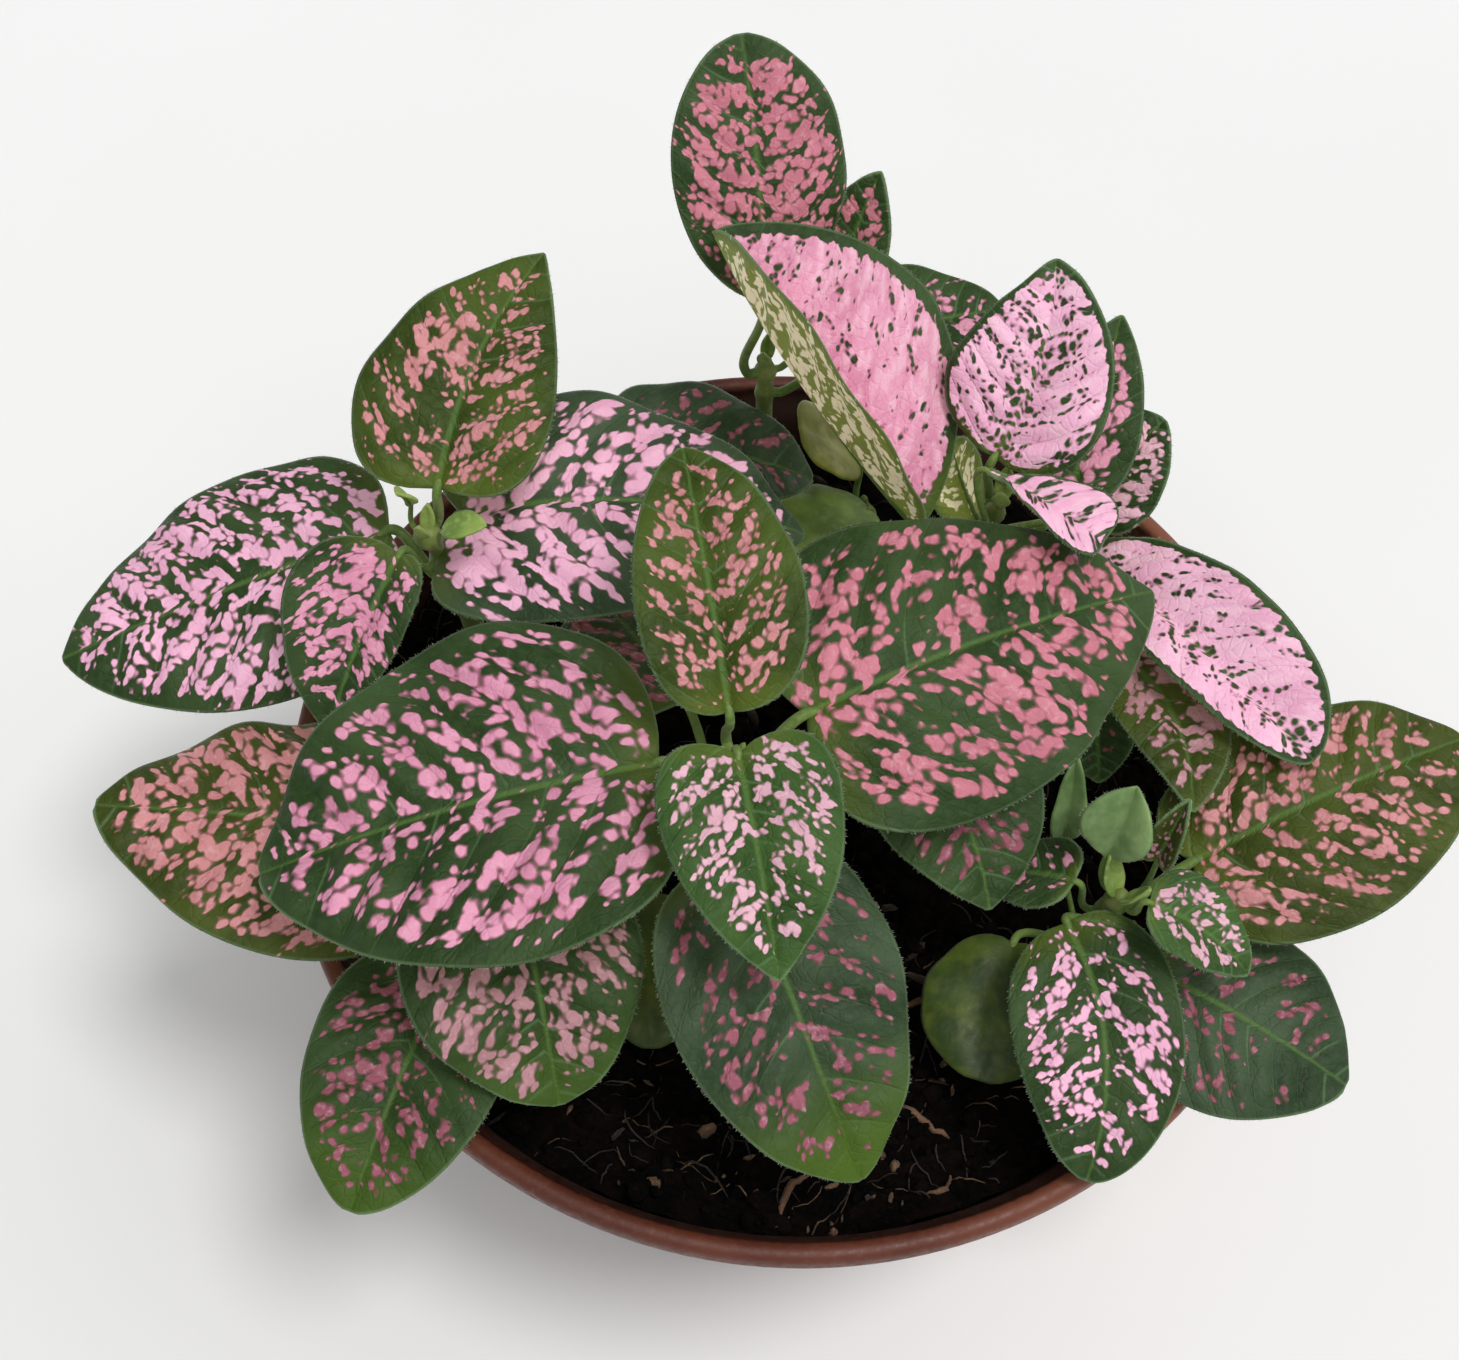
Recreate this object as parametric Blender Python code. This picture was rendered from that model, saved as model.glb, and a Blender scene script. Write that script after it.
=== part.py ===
"""Potted polka dot plant: seven leafy stems and a seedling in a 12 cm terracotta-coloured nursery pot.

Design values are in millimetres and degrees, and the meshes are written in metres.
+Z is up, -Y is the front, and the origin is the centre of the underside of the pot.
A leaf is one closed loft: a round petiole that opens into a thin, folded and arched blade.
"""

from dataclasses import dataclass
from math import cos, pi, radians, sin

import bmesh
import bpy
import numpy as np

MM = 0.001
CLEARANCE = 0.35  # gap between a piece and what carries it

# ---------------------------------------------------------------- pot
POT_HEIGHT = 70.0
LIP_RADIUS = 60.0
LIP_DEPTH = 3.0
LIP_WIDTH = 2.4
WALL = 1.4
FOOT_RADIUS = 38.5
FLOOR = 2.0
RECESS_DEPTH = 1.0
RECESS_INNER, RECESS_OUTER = 9.0, 31.0
DRAIN_RADIUS, DRAIN_RING, DRAIN_COUNT = 3.5, 20.0, 6
SECTORS = 48  # around the pot and the soil

# ---------------------------------------------------------------- soil
SOIL_LEVEL = 62.0
SOIL_LUMP = 1.2
SOIL_RINGS = 5
SOCKET_FLOOR = 52.0
SOCKET_CLEARANCE = 0.3

# ---------------------------------------------------------------- leaves
BLADE_THICKNESS = 0.8
PETIOLE_RADIUS = 0.75
PETIOLE_STATIONS = (0.0, 0.35, 0.7)
PETIOLE_SLOPES = (0.6, 2.0)  # least and most rise of a petiole where it leaves its stem
BLADE_STATIONS = (0.0, 0.08, 0.25, 0.48, 0.7, 0.88, 0.98)
BLADE_SIDES = (-1.0, -0.5, 0.0, 0.5, 1.0)
NARROWEST = 0.5  # half-width where the blade is cut at its tip


@dataclass
class Stem:
    """A stem runs in a smooth bow from its socket in the soil to its growing tip."""
    foot: tuple  # x, y at the soil
    tip: tuple  # x, y, z of the growing tip
    bow: tuple = (0, 0)  # sideways offset of the middle
    thick: float = 1.6  # radius at the soil
    thin: float = 1.1  # radius at the tip


@dataclass
class Leaf:
    """Base and tip of the blade, its widest measure, and how it is bent.

    node is the height on the stem where the petiole leaves it. lift is the angle by which the
    left and right halves rise from the midrib, cup adds to it towards the margins, arch and
    sweep bow the midrib up and to the right by that share of the length, and roll turns the
    blade about its length with its right side down. rise and fall are the exponents of the
    outline at the base and at the tip, lobe pushes the base back beside the petiole, and
    uneven widens the right half and narrows the left.
    """
    node: float
    base: tuple
    tip: tuple
    width: float
    lift: tuple = (8, 8)
    cup: float = 0
    arch: float = 0.06
    sweep: float = 0
    roll: float = 0
    twist: float = 0
    rise: float = 0.42
    fall: float = 0.8
    lobe: float = 0.2
    uneven: float = 0


STEMS = {
    "centre": Stem((-8, -14), (-7.5, -18, 103), bow=(0, 2), thick=1.8),
    "left": Stem((-38, 14), (-42.5, 11, 99), bow=(1, 1)),
    "corner": Stem((-25, -22), (-26, -25, 85), bow=(-1, 0)),
    "back": Stem((-5, 41), (-5.5, 41, 95)),
    "rear": Stem((17, 25), (22, 21, 96)),
    "side": Stem((29, 18), (30, 19, 80)),
    "right": Stem((34, -19), (35, -23.5, 86)),
    "seedling": Stem((9, 38), (8, 38, 72), thick=1.0, thin=0.8),
}

LEAVES = {
    "centre": {
        "leaf_centre_back": Leaf(102, (-8, -17, 110), (-14, 9, 119), 18, (15, 15), fall=0.68, lobe=0.1,
                                 uneven=0.08),
        "leaf_centre_front": Leaf(101, (-7, -20.5, 108), (-2, -42, 101), 19, (10, 10), arch=0.08, fall=0.9,
                                  lobe=0.5),
        "leaf_centre_left": Leaf(95, (-15, -18, 101), (-56, -29, 93), 39, (5, 8), fall=0.68),
        "leaf_centre_right": Leaf(96, (0, -12, 102), (39, 10, 95), 36, (5, -15), lobe=0.4),
        "leaf_centre_low_front": Leaf(84, (-6, -25, 93), (8, -53, 76), 26, arch=0.08, sweep=0.02, rise=0.42,
                                      fall=0.72, uneven=0.05),
        "leaf_centre_low_back": Leaf(84, (-13, -5, 92), (-25, 14, 84), 20),
        "leaf_centre_low_right": Leaf(84, (13, -8, 91), (21, -25, 84), 20, sweep=-0.05),
    },
    "left": {
        "leaf_left_back": Leaf(98.3, (-41, 13.5, 104), (-31, 41, 112), 23, (10, 10), arch=0.05, sweep=-0.05,
                               rise=0.38, fall=0.92),
        "leaf_left_outer": Leaf(88, (-48, 16, 92), (-86, 4, 80), 31, (-15, 0), arch=0.02, fall=0.7),
        "leaf_left_front": Leaf(93, (-45, 8, 99), (-52, -9, 88), 15, (10, 10), arch=0.08, uneven=0.35),
        "leaf_left_inner": Leaf(92, (-39.5, 16.5, 95), (0, 18.5, 91), 31, (5, 0), arch=0.12, rise=0.4,
                                lobe=0.6, uneven=0.05),
        "leaf_left_low_back": Leaf(82, (-25, 33, 87), (1, 32.5, 83), 19, arch=0.1, fall=0.7),
        "bud_leaf_left_right": Leaf(98, (-40, 8.5, 103), (-35, 8, 105), 4, arch=0.1, rise=0.7),
        "bud_leaf_left_back": Leaf(98, (-44, 12.5, 102.5), (-45, 11, 106), 3, arch=0.1, rise=0.7),
    },
    "corner": {
        "leaf_corner_outer": Leaf(76, (-40, -17, 80), (-78, -16, 82), 32, (-8, -15), arch=0.03, fall=0.72),
        "leaf_corner_front": Leaf(70, (-37, -30, 76), (-45.5, -57.5, 72), 22, arch=0.08, rise=0.42,
                                  fall=0.6),
        "leaf_corner_inner": Leaf(82, (-30, -25, 89), (-24, -47, 78), 26, arch=0.08, fall=0.65, uneven=0.1),
        "seed_leaf_corner": Leaf(70, (-16, -20, 74), (-15, -37, 70), 12, (0, 0), fall=0.5, rise=0.5),
    },
    "back": {
        "leaf_back_tall": Leaf(93, (-6, 39, 108), (-10, 58, 130), 20, (10, 10), arch=0.05, sweep=0.01,
                               rise=0.68, fall=0.62),
        "leaf_back_small": Leaf(93, (2, 43, 104), (6.5, 50, 118), 11, (10, 10), arch=0.05),
        "leaf_back_right": Leaf(89, (4, 41, 98), (23, 46, 100), 18),
    },
    "rear": {
        "leaf_rear_top": Leaf(93, (20.5, 22.5, 102), (26, 39, 117), 19, sweep=0.07, lobe=0),
        "leaf_rear_second": Leaf(88, (30, 22, 95), (35, 40, 107), 12, lobe=0),
        "leaf_rear_outer": Leaf(85, (32, 25, 90), (41.5, 33, 97), 19, uneven=-0.2),
        "leaf_rear_curled": Leaf(93, (19.5, 19.5, 103.5), (32.5, 12, 101.5), 9.5, (15, 20), rise=1.3,
                                 fall=0.3, lobe=0),
        "leaf_rear_folded": Leaf(84, (20.5, 24.5, 86.5), (16, 27.3, 98.5), 9, roll=170, rise=0.6,
                                 fall=0.6, lobe=0),
        "leaf_rear_long": Leaf(80, (13, 17, 96), (-12, 40, 118), 32, (80, 20), arch=0, sweep=-0.04,
                               rise=0.65, fall=0.65, lobe=0, uneven=0.1),
    },
    "side": {
        "leaf_side_outer": Leaf(78, (33, 22, 86), (57, -7, 88), 16, (30, 15), arch=0.08, sweep=0.03,
                                rise=0.65, fall=0.5, lobe=0, uneven=-0.2),
        "leaf_side_low": Leaf(76, (36.5, 9, 84), (43.5, -13, 86), 14, sweep=-0.1),
        "leaf_side_hidden": Leaf(72, (35, 7, 77), (36, -2, 72), 10),
    },
    "right": {
        "leaf_right_outer": Leaf(76, (44, -17, 82), (75, -2, 86), 26, (0, -8), rise=0.45, fall=0.65,
                                 lobe=0.5, uneven=0.12),
        "leaf_right_young": Leaf(84.5, (37.2, -26.2, 90), (48.4, -31.4, 84), 10.5, (15, 15), sweep=-0.05),
        "leaf_right_front": Leaf(80, (29.5, -25.5, 83), (32, -51, 73), 19, arch=0.08, sweep=-0.1, rise=0.35,
                                 fall=0.55, lobe=0, uneven=0.08),
        "leaf_right_low": Leaf(71, (40, -27, 75), (61, -39, 73), 24, (0, -12), fall=0.65),
        "leaf_right_inner": Leaf(79, (30, -22, 86), (22, -18, 79), 10),
        "leaf_right_pale": Leaf(84.5, (32.8, -21.2, 90.5), (34.7, -17.5, 99.5), 9, (30, 30), rise=0.95,
                                fall=0.85, lobe=0),
        "leaf_right_curl": Leaf(83, (38, -22, 92), (40, -19, 100), 6, (50, 50)),
        "seed_leaf_right_round": Leaf(69, (25, -24, 74), (21, -39, 70), 17, (-5, -5), rise=0.5, fall=0.5),
        "seed_leaf_right_narrow": Leaf(66, (31, -10, 74), (31, -6, 86), 5, (40, 40)),
    },
    "seedling": {
        "seed_leaf_notched": Leaf(69, (7, 41, 75.5), (-1, 40, 84), 11, (0, 0), rise=0.5, fall=0.3),
        "seed_leaf_flat": Leaf(69, (8.5, 35, 74), (-2, 26, 78.5), 13, (0, 0), rise=0.5, fall=0.5),
    },
}

# Base colour (linear), roughness
FINISHES = {
    "pot": ((0.26, 0.075, 0.035), 0.5),
    "soil": ((0.012, 0.008, 0.006), 0.95),
    "stem": ((0.16, 0.26, 0.05), 0.55),
    "leaf": ((0.05, 0.13, 0.05), 0.5),
    "bud": ((0.26, 0.42, 0.09), 0.5),
    "seed": ((0.14, 0.24, 0.05), 0.5),
}


# ---------------------------------------------------------------- helpers
def unit(vector):
    """Rows of an array, or one vector, scaled to length one."""
    vector = np.asarray(vector, float)
    return vector / np.linalg.norm(vector, axis=-1, keepdims=True)


def finish(name):
    """A Principled material of the named finish, made once."""
    material = bpy.data.materials.get(name)
    if material:
        return material
    colour, roughness = FINISHES[name]
    material = bpy.data.materials.new(name)
    material.use_nodes = True
    shader = material.node_tree.nodes["Principled BSDF"]
    shader.inputs["Base Color"].default_value = (*colour, 1)
    shader.inputs["Roughness"].default_value = roughness
    shader.inputs["Metallic"].default_value = 0
    return material


def add_object(name, points, faces, finish_name):
    """A mesh object of points in millimetres, with its normals turned outwards."""
    mesh = bpy.data.meshes.new(name)
    mesh.from_pydata((np.asarray(points) * MM).tolist(), [], faces)
    cleaner = bmesh.new()
    cleaner.from_mesh(mesh)
    bmesh.ops.recalc_face_normals(cleaner, faces=cleaner.faces)
    cleaner.to_mesh(mesh)
    cleaner.free()
    mesh.shade_smooth()
    mesh.set_sharp_from_angle(angle=radians(50))
    mesh.materials.append(finish(finish_name))
    piece = bpy.data.objects.new(name, mesh)
    bpy.context.scene.collection.objects.link(piece)
    return piece


def loft_faces(ring_count, ring_size):
    """Quads between neighbouring rings, and a cap at each end."""
    faces = []
    for ring in range(ring_count - 1):
        for k in range(ring_size):
            after = (k + 1) % ring_size
            low, high = ring * ring_size, (ring + 1) * ring_size
            faces.append((low + k, low + after, high + after, high + k))
    faces.append(tuple(range(ring_size)))
    faces.append(tuple(range((ring_count - 1) * ring_size, ring_count * ring_size)))
    return faces


def turned(name, profile, sectors, finish_name):
    """A solid of revolution about Z. The profile runs from axis to axis as (radius, z)."""
    first, *middle, last = profile
    angles = np.arange(sectors) * 2 * pi / sectors
    points = [(0, 0, first[1])]
    for radius, z in middle:
        points += [(radius * cos(a), radius * sin(a), z) for a in angles]
    points.append((0, 0, last[1]))
    faces = [(0, 1 + (k + 1) % sectors, 1 + k) for k in range(sectors)]
    for ring in range(len(middle) - 1):
        low, high = 1 + ring * sectors, 1 + (ring + 1) * sectors
        faces += [(low + k, low + (k + 1) % sectors, high + (k + 1) % sectors, high + k)
                  for k in range(sectors)]
    top = 1 + (len(middle) - 1) * sectors
    faces += [(top + k, top + (k + 1) % sectors, len(points) - 1) for k in range(sectors)]
    return add_object(name, points, faces, finish_name)


def cut_holes(piece, name, centres, radius, low, high, sides):
    """Cuts upright round holes of one radius through a piece, from low to high."""
    shape = bmesh.new()
    for x, y in centres:
        made = bmesh.ops.create_cone(shape, cap_ends=True, segments=sides, radius1=radius * MM,
                                     radius2=radius * MM, depth=(high - low) * MM)
        bmesh.ops.translate(shape, verts=made["verts"], vec=(x * MM, y * MM, (low + high) / 2 * MM))
    mesh = bpy.data.meshes.new(name)
    shape.to_mesh(mesh)
    shape.free()
    cutter = bpy.data.objects.new(name, mesh)
    cutter.hide_render = True
    cutter.display_type = "WIRE"
    bpy.context.scene.collection.objects.link(cutter)
    modifier = piece.modifiers.new(name, "BOOLEAN")
    modifier.operation = "DIFFERENCE"
    modifier.solver = "EXACT"
    modifier.object = cutter


# ---------------------------------------------------------------- pot and soil
def wall_radius(z):
    """Radius of the inside of the pot's wall at a height, on its straight taper."""
    share = z / (POT_HEIGHT - LIP_DEPTH)
    return FOOT_RADIUS + (LIP_RADIUS - LIP_WIDTH - FOOT_RADIUS) * share - WALL


def make_pot():
    """A thin tapered wall with a rolled lip, a recessed base and a ring of drain holes."""
    inner_lip = LIP_RADIUS - LIP_WIDTH
    under_lip = POT_HEIGHT - LIP_DEPTH
    profile = [
        (0, 0),
        (RECESS_INNER, 0),
        (RECESS_INNER + 0.6, RECESS_DEPTH),
        (RECESS_OUTER - 0.6, RECESS_DEPTH),
        (RECESS_OUTER, 0),
        (FOOT_RADIUS - 0.6, 0),
        (FOOT_RADIUS, 0.6),
        (wall_radius(under_lip) + WALL, under_lip),
        (LIP_RADIUS - 0.5, under_lip + 0.2),
        (LIP_RADIUS, under_lip + 0.9),
        (LIP_RADIUS, POT_HEIGHT - 1.2),
        (LIP_RADIUS - 0.6, POT_HEIGHT - 0.3),
        (LIP_RADIUS - 1.4, POT_HEIGHT),
        (inner_lip + 0.4, POT_HEIGHT - 0.3),
        (inner_lip, POT_HEIGHT - 1.2),
        (wall_radius(under_lip), under_lip),
        (wall_radius(FLOOR + 1), FLOOR + 1),
        (wall_radius(FLOOR) - 1.2, FLOOR),
        (0, FLOOR),
    ]
    pot = turned("pot", profile, SECTORS, "pot")
    angles = [2 * pi * k / DRAIN_COUNT for k in range(DRAIN_COUNT)]
    centres = [(DRAIN_RING * cos(a), DRAIN_RING * sin(a)) for a in angles]
    cut_holes(pot, "drain_cutter", centres, DRAIN_RADIUS, -1, FLOOR + 1, 12)
    return pot


def soil_height(x, y):
    """Level of the soil, with gentle lumps and a slight dip towards the wall."""
    lumps = np.sin(0.21 * x + 0.9) * np.cos(0.17 * y - 0.4) + 0.6 * np.sin(0.33 * x - 0.27 * y)
    return SOIL_LEVEL + SOIL_LUMP * lumps / 1.6 - 0.0004 * (x * x + y * y)


def make_soil():
    """Potting soil that fills the pot, with a socket for each stem."""
    angles = np.arange(SECTORS) * 2 * pi / SECTORS
    edge = wall_radius(SOIL_LEVEL - 2.5) - CLEARANCE
    bottom = FLOOR + CLEARANCE
    rings = [(wall_radius(bottom) - 1.4 - CLEARANCE, bottom),
             (wall_radius(bottom + 1) - CLEARANCE, bottom + 1),
             (edge, SOIL_LEVEL - 2.5)]
    rings += [(edge * k / SOIL_RINGS - 0.4, None) for k in range(SOIL_RINGS, 0, -1)]
    points = [(0, 0, bottom)]
    for radius, z in rings:
        x, y = radius * np.cos(angles), radius * np.sin(angles)
        level = soil_height(x, y) if z is None else np.full(SECTORS, z)
        points += list(zip(x, y, level))
    points.append((0, 0, soil_height(0, 0)))
    faces = [(0, 1 + (k + 1) % SECTORS, 1 + k) for k in range(SECTORS)]
    for ring in range(len(rings) - 1):
        low, high = 1 + ring * SECTORS, 1 + (ring + 1) * SECTORS
        faces += [(low + k, low + (k + 1) % SECTORS, high + (k + 1) % SECTORS, high + k)
                  for k in range(SECTORS)]
    top = 1 + (len(rings) - 1) * SECTORS
    faces += [(top + k, top + (k + 1) % SECTORS, len(points) - 1) for k in range(SECTORS)]
    soil = add_object("soil", points, faces, "soil")
    for name, stem in STEMS.items():
        radius = stem.thick + SOCKET_CLEARANCE
        cut_holes(soil, f"socket_{name}", [stem.foot], radius, SOCKET_FLOOR, SOIL_LEVEL + 10, 10)
    return soil


# ---------------------------------------------------------------- stems
def stem_path(stem, share):
    """Centre line of a stem at shares of its height: upright in the soil, then bowed to its tip."""
    share = np.asarray(share, float)[..., None]
    foot = np.array([*stem.foot, SOIL_LEVEL + 3])
    tip = np.array(stem.tip, float)
    middle = (foot + tip) / 2 + np.array([*stem.bow, 0])
    return (1 - share) ** 2 * foot + 2 * share * (1 - share) * middle + share ** 2 * tip


def stem_share(stem, height):
    """Share along a stem's curve at a height, which is even because its middle is half-way up."""
    low = SOIL_LEVEL + 3
    return (height - low) / (stem.tip[2] - low)


def stem_radius(stem, share):
    return stem.thick + (stem.thin - stem.thick) * share


def make_stem(name, stem):
    """A tapered round stem with a rounded tip, standing in its socket."""
    shares = np.linspace(0, 1, 5)
    centres = [(*stem.foot, SOCKET_FLOOR + SOCKET_CLEARANCE)] + list(stem_path(stem, shares))
    radii = [stem.thick] + [stem_radius(stem, s) for s in shares]
    centres.append(centres[-1] + np.array([0, 0, 0.7]))
    radii.append(stem.thin * 0.5)
    angles = np.arange(8) * 2 * pi / 8
    points = []
    for centre, radius in zip(centres, radii):
        points += [(centre[0] + radius * cos(a), centre[1] + radius * sin(a), centre[2]) for a in angles]
    return add_object(f"stem_{name}", points, loft_faces(len(centres), 8), "stem")


# ---------------------------------------------------------------- leaves
def midrib(leaf, t):
    """Points and a moving frame (along, side, up) on the bowed midrib, at shares t of its length."""
    base, tip = np.array(leaf.base, float), np.array(leaf.tip, float)
    length = np.linalg.norm(tip - base)
    along = (tip - base) / length
    up = unit(np.array([0, 0, 1]) - along[2] * along)
    side = np.cross(along, up)
    roll = radians(leaf.roll)
    up, side = cos(roll) * up + sin(roll) * side, cos(roll) * side - sin(roll) * up
    bow = length * (leaf.arch * up + leaf.sweep * side)
    t = np.asarray(t, float)[:, None]
    points = base + t * (tip - base) + 4 * t * (1 - t) * bow
    tangent = unit((tip - base) + 4 * (1 - 2 * t) * bow)
    up = unit(up - (tangent @ up)[:, None] * tangent)
    side = np.cross(tangent, up)
    turn = np.radians(leaf.twist) * (t - 0.5)
    up, side = np.cos(turn) * up + np.sin(turn) * side, np.cos(turn) * side - np.sin(turn) * up
    return points, tangent, side, up


def half_width(leaf, t):
    """Outline of the blade: a rise from the base times a fall to the tip, one at its widest."""
    peak = leaf.rise / (leaf.rise + leaf.fall)
    return leaf.width / 2 * (t / peak) ** leaf.rise * ((1 - t) / (1 - peak)) ** leaf.fall


def blade_rings(leaf):
    """Rings of the blade: its upper points from left to right, then its lower points back."""
    t, v = np.array(BLADE_STATIONS), np.array(BLADE_SIDES)
    points, tangent, side, up = midrib(leaf, t)
    width = np.maximum(half_width(leaf, t), NARROWEST)
    lift = np.radians(np.where(v < 0, leaf.lift[0], leaf.lift[1]))
    angle = lift + radians(leaf.cup) * np.abs(v) / 2
    share = np.abs(v) * (1 + leaf.uneven * np.sign(v))
    across, above = np.sign(v) * share * np.cos(angle), share * np.sin(angle)
    back = leaf.lobe * width[:, None] * np.abs(v) * ((1 - t) ** 3)[:, None]
    surface = points[:, None] - back[..., None] * tangent[:, None]
    surface = surface + width[:, None, None] * (across[None, :, None] * side[:, None]
                                                + above[None, :, None] * up[:, None])
    lean = np.where(v == 0, (angle[-1] - angle[0]) / 2, np.sign(v) * angle)
    normal = np.cos(lean)[None, :, None] * up[:, None] - np.sin(lean)[None, :, None] * side[:, None]
    half = BLADE_THICKNESS / 2 * np.where(np.abs(v) == 1, 0.6, 1.0)[None, :, None]
    upper, lower = surface + half * normal, surface - half * normal
    return np.concatenate([upper, lower[:, ::-1]], axis=1)


def petiole_rings(leaf, stem):
    """Round rings from just off the stem to just before the blade, along a smooth bend."""
    points, tangent, side, _ = midrib(leaf, [0.0])
    base, tangent, side = points[0], tangent[0], side[0]
    share = stem_share(stem, leaf.node)
    axis = stem_path(stem, share)
    reach = (base - axis) + 0.1 * (np.array(leaf.tip) - axis)
    outward = unit(reach * (1, 1, 0))
    slope = np.clip(0.5 * reach[2] / (reach @ outward), *PETIOLE_SLOPES)
    leaving = unit(outward + (0, 0, slope))
    start = axis + outward * (stem_radius(stem, share) + CLEARANCE + PETIOLE_RADIUS * leaving[2])
    reach = 0.3 * np.linalg.norm(base - start)
    knots = np.array([start, start + reach * leaving, base - reach * tangent, base])
    count = len(BLADE_SIDES)
    angles = pi - (np.arange(2 * count) + 0.5) * pi / count
    rings = []
    for s in PETIOLE_STATIONS:
        centre = np.array([(1 - s) ** 3, 3 * s * (1 - s) ** 2, 3 * s ** 2 * (1 - s), s ** 3]) @ knots
        direction = unit(np.array([(1 - s) ** 2, 2 * s * (1 - s), s ** 2]) @ np.diff(knots, axis=0))
        across = unit(side - (side @ direction) * direction)
        above = np.cross(across, direction)
        rings.append(centre + PETIOLE_RADIUS * (np.cos(angles)[:, None] * across
                                                + np.sin(angles)[:, None] * above))
    return np.array(rings)


def make_leaf(name, leaf, stem):
    """One leaf with its petiole, as one closed body."""
    rings = np.concatenate([petiole_rings(leaf, stem), blade_rings(leaf)])
    kind = name.split("_")[0]
    return add_object(name, rings.reshape(-1, 3), loft_faces(*rings.shape[:2]), kind)


def main():
    for old in list(bpy.data.objects):
        bpy.data.objects.remove(old, do_unlink=True)
    make_pot()
    make_soil()
    for stem_name, stem in STEMS.items():
        make_stem(stem_name, stem)
        for leaf_name, leaf in LEAVES[stem_name].items():
            make_leaf(leaf_name, leaf, stem)


main()
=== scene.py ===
"""Potted polka dot plant: the finished surfaces of every leaf, stem, the soil and the pot.

Sizes are in millimetres and degrees, and meshes are written in metres. +Z is up and -Y is the
front. Every surface is worked out as whole arrays: a blade over (along, across), a stem or a
petiole over (along, around), and the pot and the soil over (profile, around).
"""

from dataclasses import dataclass
from math import cos, pi, radians, sin

import bpy
import numpy as np
from mathutils import Matrix, Vector


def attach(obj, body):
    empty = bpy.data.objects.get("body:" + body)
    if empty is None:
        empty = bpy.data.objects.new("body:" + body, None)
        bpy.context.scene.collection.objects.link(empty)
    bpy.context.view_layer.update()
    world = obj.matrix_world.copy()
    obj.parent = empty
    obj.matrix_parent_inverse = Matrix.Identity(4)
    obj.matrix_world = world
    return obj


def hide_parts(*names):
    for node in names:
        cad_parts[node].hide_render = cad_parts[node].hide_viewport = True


MM = 0.001
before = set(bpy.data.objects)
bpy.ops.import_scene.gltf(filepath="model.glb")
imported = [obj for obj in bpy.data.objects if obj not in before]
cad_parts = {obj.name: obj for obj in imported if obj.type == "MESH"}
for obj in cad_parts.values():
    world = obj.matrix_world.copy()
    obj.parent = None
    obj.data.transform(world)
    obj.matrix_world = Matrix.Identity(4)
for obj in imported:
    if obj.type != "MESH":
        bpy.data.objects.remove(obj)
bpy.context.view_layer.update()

# ---------------------------------------------------------------- sizes shared with the solids
CLEARANCE = 0.35
POT_HEIGHT, LIP_RADIUS, LIP_DEPTH, LIP_WIDTH = 70.0, 60.0, 3.0, 2.4
WALL, FOOT_RADIUS, FLOOR = 1.4, 38.5, 2.0
RECESS_DEPTH, RECESS_INNER, RECESS_OUTER = 1.0, 9.0, 31.0
DRAIN_RADIUS, DRAIN_RING, DRAIN_COUNT = 3.5, 20.0, 6
SOIL_LEVEL = 62.0
SOCKET_FLOOR = 52.0
STEM_FOOT = SOIL_LEVEL + 3  # where a stem's bow starts
PETIOLE_RADIUS = 0.75
PETIOLE_SLOPES = (0.6, 2.0)  # flattest and steepest slope with which one leaves its stem
BLADE_THICKNESS = 0.42

# ---------------------------------------------------------------- sizes of the finish
STEM_SIDES, PETIOLE_SIDES, THREAD_SIDES, POT_SIDES, SOIL_SIDES = 16, 10, 4, 192, 360
BLADE_STEP, BLADE_CROSS_STEP = 0.45, 0.6  # of a blade's grid, along and across
SIDE_VEINS, VEIN_GAP = 7.5, 1.4  # veins along a blade, and the least distance between two
SWELLING, RIB_DEPTH, UNEVENNESS, MARGIN_WAVE = 0.8, 0.45, 0.2, 0.42  # on a blade 30 mm wide
STEEP_LIFT = 40  # a half that rises by more is folded up and nearly flat
JOINT_HEIGHT, JOINT_LENGTH = 0.32, 1.3  # of the swelling where a petiole leaves its stem
HAIR_GAP, HAIR_RADIUS, HAIR_LENGTHS = 0.4, 0.024, (0.12, 0.38)
EDGE_ROUND = 0.8  # radius of the pot's outer edges
THREAD_POINTS = 9

# ---------------------------------------------------------------- measures of the spots
NEARLY_PINK = 0.75  # over this share of pink, a blade's paint is pink with green dots
SPOT_EDGE = 0.14  # half the softness of a spot's edge, in shares of a cell
VEIN_WIDTH = 0.35
PALE_PINK, PALE_VEIN, MARGIN_GREEN = (255, 214, 222), (98, 132, 88), (112, 138, 98)

# ---------------------------------------------------------------- colours, from 0 to 255
PINKS = {  # the edge and the middle of a leaf's spots
    "salmon": ((164, 86, 102), (214, 132, 148)),
    "coral": ((150, 84, 86), (216, 146, 148)),
    "rose": ((184, 98, 130), (234, 160, 188)),
    "lilac": ((208, 130, 165), (254, 192, 222)),
    "pale": ((176, 116, 136), (236, 186, 202)),
    # painted shade: a darker copy of the pinks, for the low leaves that lie in shade
    "painted_shade": ((112, 58, 70), (162, 94, 110)),
    "brown": ((128, 80, 84), (192, 142, 150)),
}
GREENS = {  # shaded and lit tones of the ground colour
    "deep": ((41, 62, 27), (62, 84, 47)),
    "blue": ((43, 62, 37), (70, 88, 63)),
    "olive": ((54, 66, 20), (76, 88, 34)),
    "moss": ((50, 66, 18), (74, 92, 34)),
    "grass": ((46, 74, 30), (70, 100, 48)),
}


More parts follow.
